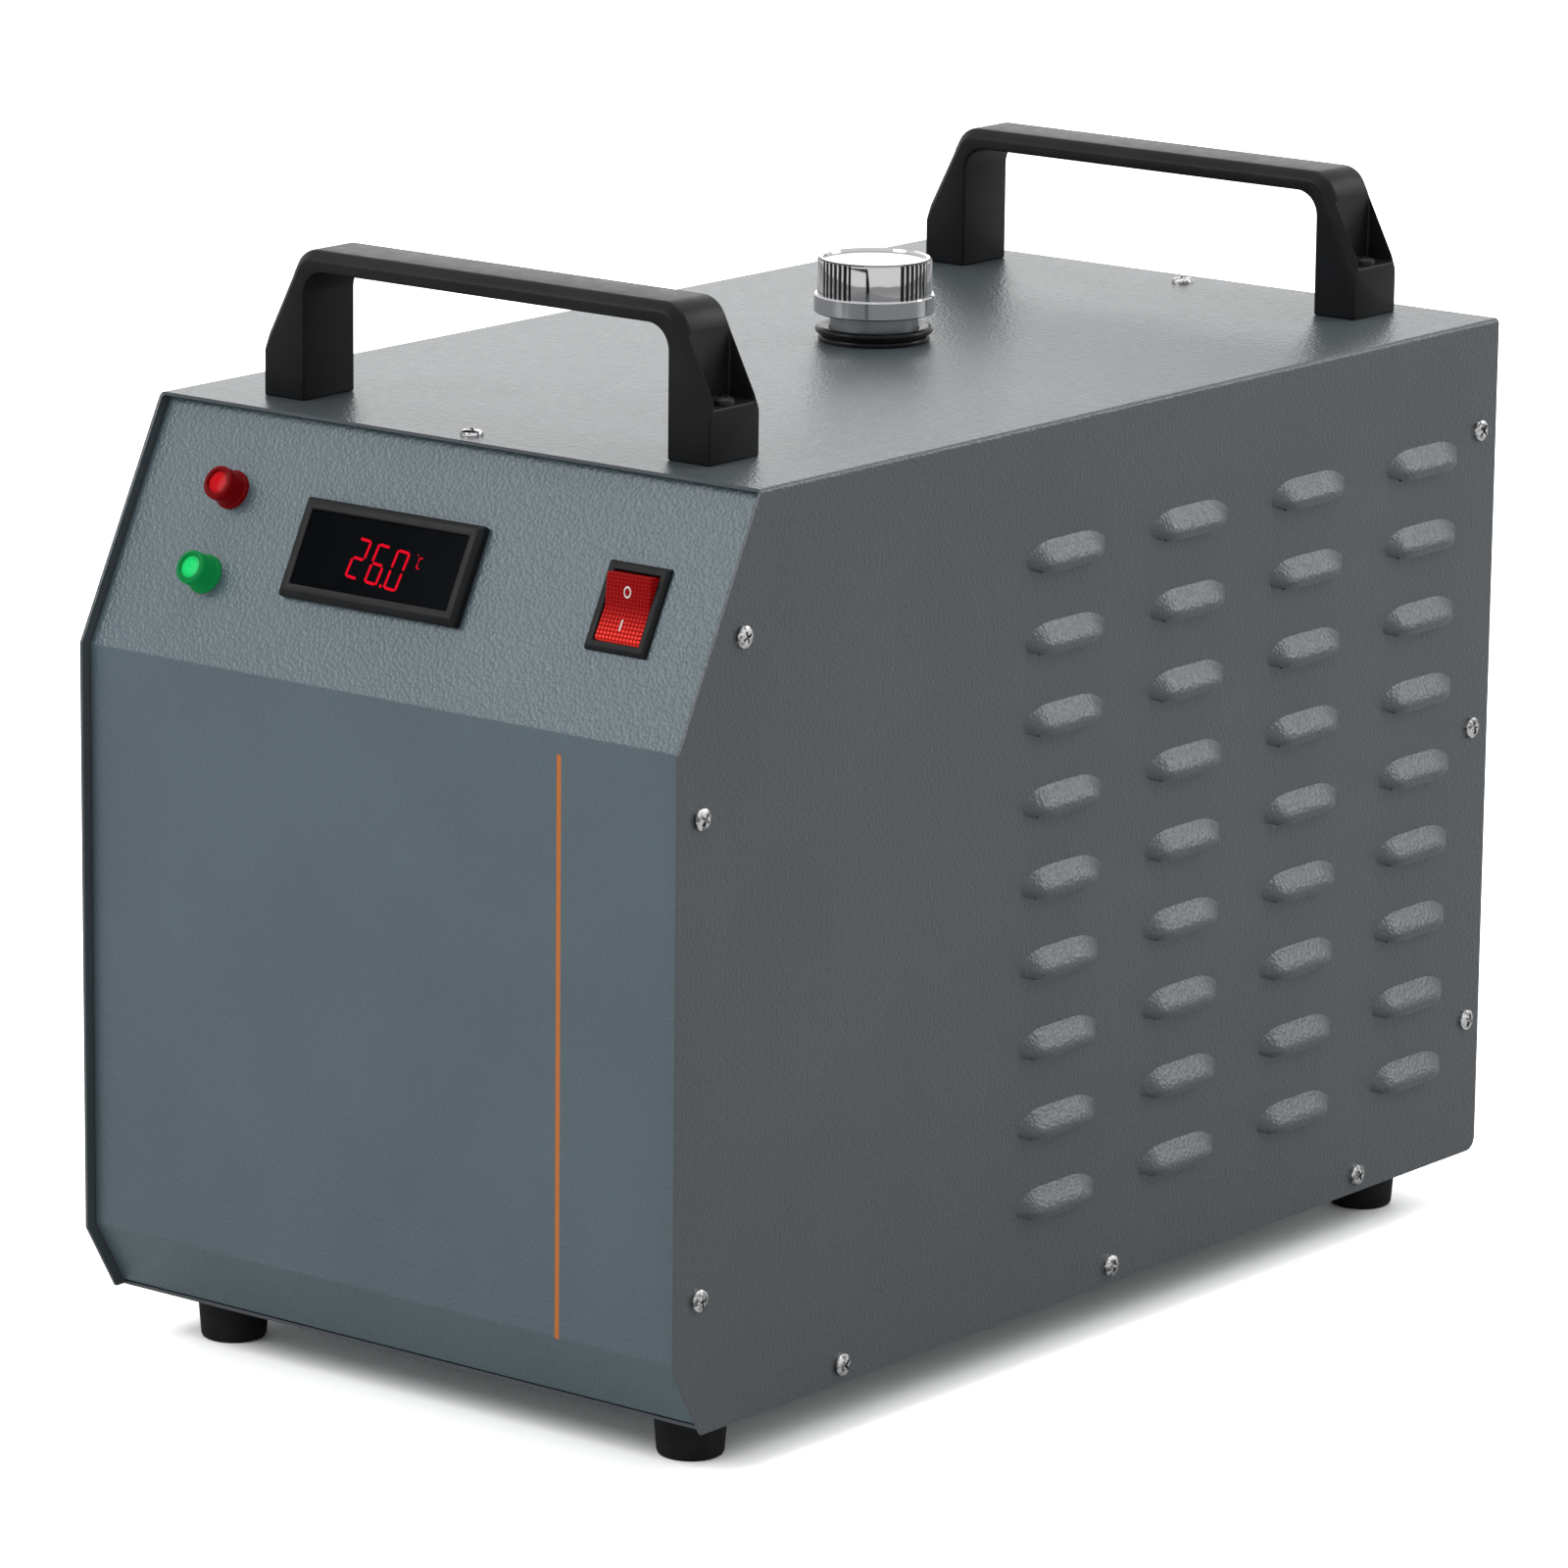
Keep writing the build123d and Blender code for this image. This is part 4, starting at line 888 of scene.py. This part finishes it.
class CHILLER_OT_display(Operator):
    """Temperature display with its lit digits"""

    bl_idname = "chiller.display"
    bl_label = "Display"

    reading: StringProperty(name="Reading", description="Figures shown on the display", default="26.0")

    segments = {
        "0": "abcdef", "1": "bc", "2": "abdeg", "3": "abcdg", "4": "bcfg",
        "5": "acdfg", "6": "acdefg", "7": "abc", "8": "abcdefg", "9": "abcdfg",
    }

    def execute(self, context):
        black = moulded_plastic("meter_black", chosen("moulded"), grain=0.3)
        mould("display_frame", "display_bezel", 0.6 * MM, black)
        paint(window_gloss(), "display_window")
        paint(circuit_board(), "display_board")
        tall = context.scene.chiller_sizes.digit_height / MM
        wide, pitch, small = tall * 0.43, tall * 0.63, tall * 0.26
        dot, slant = 1.3, 0.20
        pieces = []
        start = 0.0
        for figure in self.reading:
            if figure == ".":
                pieces.append(self.bar((start - pitch * 0.13, -tall / 2 + 0.6), dot, dot, 0))
                continue
            for letter in self.segments[figure]:
                pieces.append(self.segment(letter, start + wide / 2, wide, tall))
            start += pitch
        right, foot = start + 0.4, tall / 2 - small
        pieces.append(self.bar((right + 0.15, foot + small * 0.95), 0.55, 0.5, 0))
        for letter in "adef":
            middle, lift = right + small * 0.55, foot + small * 0.3
            pieces.append(self.segment(letter, middle, small * 0.55, small * 1.1, 0.45, lift))
        digits = joined(pieces, "display_digits")
        lean = Matrix.Identity(4)
        lean[0][1] = slant
        settle(digits, lean)
        across, down, out = -27.4, 46.4, 3.72
        settle(digits, slope_placement(across, down, out))
        dress(digits, lit_digits())
        return {"FINISHED"}

    def segment(self, letter, middle, wide, tall, thick=1.0, lift=0.0):
        """One segment by its letter, round the figure from the top bar."""
        gap = thick * 0.72
        level = {"a": tall / 2 - thick / 2, "g": 0.0, "d": -tall / 2 + thick / 2}
        if letter in level:
            return self.bar((middle, level[letter] + lift), wide - 2 * gap, thick, 0)
        side = wide / 2 - thick / 2
        across = middle + (side if letter in "bc" else -side)
        upward = 0.25 if letter in "bf" else -0.25
        return self.bar((across, tall * upward + lift), tall / 2 - gap, thick, 90)

    def bar(self, place, long, thick, turn):
        """A flat bar with pointed ends, a tenth of a millimetre thick."""
        deselect()
        bpy.ops.mesh.primitive_cylinder_add(vertices=6, radius=1, depth=0.1 * MM)
        piece = named("segment")
        open_mesh()
        shape = bmesh.from_edit_mesh(piece.data)
        for point in shape.verts:
            tip = abs(point.co.x) < 0.1
            side = 1 if point.co.y > 0 else -1
            reach = long / 2 if tip else max(long / 2 - thick / 2, 0.15 * long)
            point.co.y = (0 if tip else math.copysign(thick / 2, point.co.x)) * MM
            point.co.x = side * reach * MM
        bmesh.update_edit_mesh(piece.data)
        bpy.ops.mesh.normals_make_consistent(inside=False)
        close_mesh()
        settle(piece, Matrix.Translation((place[0] * MM, place[1] * MM, 0)) @ turned(turn, "Z"))
        return piece


class CHILLER_OT_rocker(Operator):
    """Rocker switch with its frame and marks"""

    bl_idname = "chiller.rocker"
    bl_label = "Rocker switch"

    def execute(self, context):
        black = moulded_plastic("switch_black", chosen("moulded"), 0.4, 0.3)
        mould("switch_frame", "switch_bezel", 0.45 * MM, black)
        low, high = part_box("switch_rocker")
        red = lit_rocker((low + high) / 2)
        mould("switch_rocker", "rocker_cap", 0.6 * MM, red, "rocker", angle=25.0)
        dress(self.marks(), white_mark(), body="rocker")
        return {"FINISHED"}

    def marks(self):
        """The ring at the upper end and the bar at the lower one, each on its half of the rocker."""
        deselect()
        thick = {"major_radius": 1.55 * MM, "minor_radius": 0.33 * MM}
        bpy.ops.mesh.primitive_torus_add(major_segments=40, minor_segments=8, **thick)
        ring = named("ring_mark")
        ring.scale = (0.86, 1.1, 0.3)
        settle(ring)
        dash = block("bar_mark", (0, 0, 0), (0.7 * MM, 4.0 * MM, 0.12 * MM))
        soften(dash, 0.04 * MM, 2)
        across, down, out, tip = 93.2, 47.0, -0.5, 10.0
        reach, dish, half_length = 4.7, 2.4, 12.15
        from_middle, above = 5.6, 0.05
        level = reach - dish + from_middle * dish / half_length + above
        fall = math.degrees(math.atan2(dish, half_length))
        pivot = slope_placement(across, down, out, tip)
        for mark, side in ((ring, 1), (dash, -1)):
            spot = Matrix.Translation((0, side * from_middle * MM, level * MM))
            settle(mark, pivot @ spot @ turned(side * fall, "X"))
        return joined([ring, dash], "rocker_marks")


class CHILLER_OT_filler(Operator):
    """Rubber ring, neck and knurled chrome cap"""

    bl_idname = "chiller.filler"
    bl_label = "Filler"

    def execute(self, context):
        base = Matrix.Translation((FILLER.x, FILLER.y, TOP))
        ring = lathe(
            "filler_ring",
            (
                (16.6, 0.0), (20.2, 0.0), (20.5, 0.8), (20.3, 1.7), (19.4, 2.2), (19.4, 2.6), (20.9, 2.9),
                (21.5, 3.5), (21.6, 4.2), (21.2, 4.9), (20.4, 5.3), (19.4, 5.4), (18.2, 5.1), (16.6, 4.7),
                (16.6, 0.0),
            ),
            96,
        )
        settle(ring, base)
        shade(ring, 50.0)
        dress(ring, rubber("ring_rubber", 0.2, 0.12), stands_for=["filler_gasket"])
        paint(neck_metal(), "filler_neck")
        paint(rubber("liner_rubber"), "cap_liner", "drain_liner")
        cap = self.cap()
        settle(cap, base)
        dress(cap, chrome(FILLER), body="cap", stands_for=["filler_cap"])
        return {"FINISHED"}

    def cap(self):
        """A plain collar, a grip with four fluted stretches, and a dished top."""
        bottom, shoulder, top = 10.4, 17.2, 30.6
        sides, grip, flute = 240, 20.95, 0.75
        profile = (
            (16.6, bottom), (21.7, bottom), (22.1, bottom + 0.4), (22.1, shoulder - 0.5), (21.7, shoulder),
            (grip, shoulder + 0.05), (grip, top - 1.3), (20.75, top - 0.6), (20.2, top - 0.1), (19.5, top),
            (18.9, top - 0.2), (18.5, top - 1.0), (9.0, top - 1.0), (0.0, top - 1.0),
        )
        cap = lathe("chrome_cap", profile, sides)
        inner = lathe("cap_bore", ((16.6, bottom), (16.6, 28.0), (0.0, 28.0)), sides)
        cap = joined([cap, inner], "chrome_cap")
        mend(cap)
        plain_middle, plain_half, step = -51.6, 25, 360 / sides

        def in_flute(point):
            if abs(math.hypot(point.co.x, point.co.y) - grip * MM) > 0.02 * MM:
                return False
            angle = math.degrees(math.atan2(point.co.y, point.co.x))
            around = (angle - plain_middle + 45) % 90 - 45
            return abs(around) > plain_half and round(angle / step) % 4 < 2

        open_mesh()
        pick(cap, "VERT", in_flute)
        share = 1 - flute / grip
        bpy.ops.transform.resize(value=(share, share, 1), center_override=(0, 0, 0))
        close_mesh()
        shade(cap, 22.0)
        return cap


class CHILLER_OT_feet(Operator):
    """Rubber feet with a rounded foot and a screw recess"""

    bl_idname = "chiller.feet"
    bl_label = "Feet"

    def execute(self, context):
        low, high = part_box("feet")
        radius = 13.2
        profile = (
            (0.0, 6.0), (5.0, 6.0), (5.6, 0.6), (6.4, 0.0), (10.4, 0.0), (11.3, 0.4), (11.75, 1.4),
            (12.9, 15.5), (13.2, 16.6), (13.2, 19.0), (12.8, 19.7), (0.0, 19.7),
        )
        foot = lathe("foot", profile)
        places = []
        for across in (low.x + radius * MM, high.x - radius * MM):
            for back in (low.y + radius * MM, high.y - radius * MM):
                places.append(Matrix.Translation((across, back, 0)))
        feet = copies(foot, places, "rubber_feet")
        shade(feet, 45.0)
        dress(feet, rubber("foot_rubber"), stands_for=["feet"])
        return {"FINISHED"}


class CHILLER_OT_rear(Operator):
    """Hose tails, drain cap, power inlet and signal socket"""

    bl_idname = "chiller.rear"
    bl_label = "Rear fittings"

    def execute(self, context):
        brass = turned_brass("plated_brass", (0.50, 0.47, 0.40), (0.66, 0.62, 0.53))
        steel = plated_steel()
        low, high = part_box("water_tails")
        flange, half_height = 20.0 / math.sqrt(3) * MM, 10 * MM
        spots = ((low.x + flange, low.z + half_height), (high.x - flange, high.z - half_height))
        profile = [(3.4, -15.2), (7.0, -15.2), (7.0, 5.0), (4.8, 5.0)]
        for start in (10.0, 15.0, 20.0):
            profile += [(4.8, start), (5.6, start + 0.15), (5.6, start + 0.6), (4.9, start + 4.4)]
        profile += [(4.7, 25.4), (4.4, 28.0), (3.4, 28.0), (3.4, -15.2)]
        tail = lathe("barbed_tail", profile, 48)
        tails = copies(tail, [rear_placement(*spot) for spot in spots], "hose_tails")
        shade(tails, 30.0)
        dress(tails, brass, stands_for=["water_tails"])
        hexes = []
        thick = 5 * MM
        for across, up in spots:
            deselect()
            form = {"vertices": 6, "radius": flange, "depth": thick, "rotation": (math.radians(90), 0, 0)}
            bpy.ops.mesh.primitive_cylinder_add(location=(across, REAR + thick / 2, up), **form)
            hexes.append(named("hex"))
            settle(hexes[-1])
        nuts = joined(hexes, "tail_hexagons")
        soften(nuts, 0.5 * MM, 2)
        dress(nuts, brass)
        paint(steel, "temperature_probe", "board_standoffs")
        paint(brass, "drain_fitting")
        black = moulded_plastic("fitting_black", (0.014, 0.014, 0.015), 0.4, 0.35)
        mould("drain_plug", "drain_cap_moulding", 0.5 * MM, black, "drain_cap", 2, 25.0)
        inlet = self.inlet_black()
        mould("power_inlet", "power_inlet_moulding", 0.4 * MM, inlet, segments=2)
        mould("alarm_socket", "signal_socket", 0.25 * MM, steel, segments=2)
        paint(black, "fan_frame", "fan_rotor", "flow_switch", "pump_volute")
        return {"FINISHED"}

    def inlet_black(self):
        """Black inlet whose three blades are bright metal."""
        low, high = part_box("power_inlet")
        middle = (low + high) / 2
        finish = Finish("inlet_black")
        deep = finish.y.between(high.y - 2 * MM, high.y - 5 * MM)
        across = abs(finish.x - middle.x)
        sides = abs(across - 7 * MM).between(1.4 * MM, 1.05 * MM)
        centre = across.between(1.4 * MM, 1.05 * MM)
        inside = abs(finish.z - middle.z).between(4.6 * MM, 4.2 * MM)
        blades = (sides + centre).lowest(1.0) * inside * deep
        grain = finish.noise(0.5 * MM)
        finish.give(Metallic=blades)
        colour = finish.colour(blades, (0.014, 0.014, 0.015), (0.6, 0.58, 0.52))
        return finish.done(colour, grain * 0.15 + 0.35 - blades * 0.15, grain, 0.015 * MM)


class CHILLER_OT_inner(Operator):
    """Finishes of the pieces inside the cabinet"""

    bl_idname = "chiller.inner"
    bl_label = "Inner pieces"

    def execute(self, context):
        paint(tank_plastic(), "tank")
        paint(radiator_metal(), "radiator")
        paint(cast_metal(), "pump_motor")
        paint(circuit_board(), "control_board")
        hoses = ("suction", "return", "inlet", "radiator", "drain", "outlet")
        paint(rubber("hose_rubber", 0.5), *(f"{name}_hose" for name in hoses))
        return {"FINISHED"}


class CHILLER_OT_stage(Operator):
    """Pale floor, soft lights and the camera"""

    bl_idname = "chiller.stage"
    bl_label = "Stage"

    def execute(self, context):
        self.floor()
        self.world(context.scene)
        self.light("key_softbox", (-1.15, -2.1, 1.95), (0, 0, 0.25), 1.3, 26)
        self.light("top_softbox", (0.2, 0.4, 3.0), (0, 0, 0.2), 2.0, 22)
        self.light("back_softbox", (-2.2, 2.8, 1.5), (0, 0, 0.3), 1.8, 11)
        self.light("side_softbox", (1.6, 2.2, 1.75), (0.1, 0.1, 0.2), 1.2, 22)
        self.camera(context.scene)
        return {"FINISHED"}

    def floor(self):
        """Pale ground that the camera sees near white, with the shadows on it."""
        deselect()
        bpy.ops.mesh.primitive_plane_add(size=14)
        ground = named("ground")
        finish = Finish("pale_ground", Specular_IOR_Level=0.2)
        cloud = finish.noise(0.8)
        colour = finish.colour(cloud, (0.80, 0.80, 0.80), (0.82, 0.82, 0.82))
        finish.give(Base_Color=colour, Roughness=cloud * 0.1 + 0.6)
        seen = finish.node("ShaderNodeLightPath", {}, {}, "Is Camera Ray")
        bright = finish.node("ShaderNodeBsdfDiffuse", {}, {"Color": (2.9, 2.9, 2.9, 1)})
        values = {0: seen, 1: Wire(finish, finish.shader.outputs[0]), 2: bright}
        surface = finish.node("ShaderNodeMixShader", {}, values)
        finish.feed(finish.tree.nodes["Material Output"].inputs["Surface"], surface)
        ground.data.materials.append(finish.material)

    def world(self, scene):
        """Dim light on the pieces, and white where they are mirrored, looked through or looked past."""
        scene.world = bpy.data.worlds.new("studio")
        scene.world.use_nodes = True
        tree = scene.world.node_tree
        tree.nodes.clear()
        path = tree.nodes.new("ShaderNodeLightPath")
        white = path.outputs["Is Camera Ray"]
        for kind in ("Is Transmission Ray", "Is Glossy Ray"):
            either = tree.nodes.new("ShaderNodeMath")
            either.operation = "MAXIMUM"
            tree.links.new(white, either.inputs[0])
            tree.links.new(path.outputs[kind], either.inputs[1])
            white = either.outputs[0]
        mix = tree.nodes.new("ShaderNodeMixShader")
        tree.links.new(white, mix.inputs[0])
        for socket, strength in ((1, 0.35), (2, 1.0)):
            background = tree.nodes.new("ShaderNodeBackground")
            background.inputs["Color"].default_value = (1, 1, 1, 1)
            background.inputs["Strength"].default_value = strength
            tree.links.new(background.outputs[0], mix.inputs[socket])
        output = tree.nodes.new("ShaderNodeOutputWorld")
        tree.links.new(mix.outputs[0], output.inputs[0])

    def light(self, name, place, target, size, power):
        """A square soft light that looks at a target."""
        data = bpy.data.lights.new(name, "AREA")
        data.size = size
        data.energy = power
        lamp = bpy.data.objects.new(name, data)
        lamp.location = place
        lamp.rotation_mode = "QUATERNION"
        lamp.rotation_quaternion = (Vector(target) - Vector(place)).to_track_quat("-Z", "Y")
        bpy.context.scene.collection.objects.link(lamp)

    def camera(self, scene):
        """The camera that the photograph was fitted with."""
        data = bpy.data.cameras.new("camera")
        data.lens, data.sensor_width, data.clip_end = 185.74, 36.0, 100
        camera = bpy.data.objects.new("camera", data)
        forward = Vector((-0.6042, 0.7633, -0.2287)).normalized()
        right = Vector((0.7826, 0.6224, 0.0101))
        right = (right - forward * right.dot(forward)).normalized()
        rise = right.cross(forward)
        axes = Matrix((right, rise, -forward)).transposed().to_4x4()
        place = Vector((1.7707, -2.2634, 0.8569))
        camera.matrix_world = Matrix.Translation(place) @ axes
        scene.collection.objects.link(camera)
        scene.camera = camera
        scene.view_settings.view_transform = "Standard"


class CHILLER_PT_sidebar(Panel):
    """Lists the pieces in the sidebar"""

    bl_idname = "CHILLER_PT_sidebar"
    bl_label = "Chiller"
    bl_space_type = "VIEW_3D"
    bl_region_type = "UI"
    bl_category = "Chiller"

    def draw(self, context):
        for group in (context.scene.chiller_sizes, context.scene.chiller_colours):
            for name in group.__annotations__:
                self.layout.prop(group, name)
        for step in STEPS:
            self.layout.operator(step.bl_idname)


STEPS = (
    CHILLER_OT_cover,
    CHILLER_OT_panels,
    CHILLER_OT_handles,
    CHILLER_OT_screws,
    CHILLER_OT_lamps,
    CHILLER_OT_display,
    CHILLER_OT_rocker,
    CHILLER_OT_filler,
    CHILLER_OT_feet,
    CHILLER_OT_rear,
    CHILLER_OT_inner,
    CHILLER_OT_stage,
)
CLASSES = (ChillerSizes, ChillerColours, *STEPS, CHILLER_PT_sidebar)


def register():
    for each in CLASSES:
        bpy.utils.register_class(each)
    bpy.types.Scene.chiller_sizes = PointerProperty(type=ChillerSizes)
    bpy.types.Scene.chiller_colours = PointerProperty(type=ChillerColours)


def unregister():
    del bpy.types.Scene.chiller_colours
    del bpy.types.Scene.chiller_sizes
    for each in reversed(CLASSES):
        bpy.utils.unregister_class(each)


def main():
    register()
    bpy.ops.chiller.cover()
    bpy.ops.chiller.panels()
    bpy.ops.chiller.handles()
    bpy.ops.chiller.screws()
    bpy.ops.chiller.lamps()
    bpy.ops.chiller.display()
    bpy.ops.chiller.rocker()
    bpy.ops.chiller.filler()
    bpy.ops.chiller.feet()
    bpy.ops.chiller.rear()
    bpy.ops.chiller.inner()
    bpy.ops.chiller.stage()


if __name__ == "__main__":
    main()
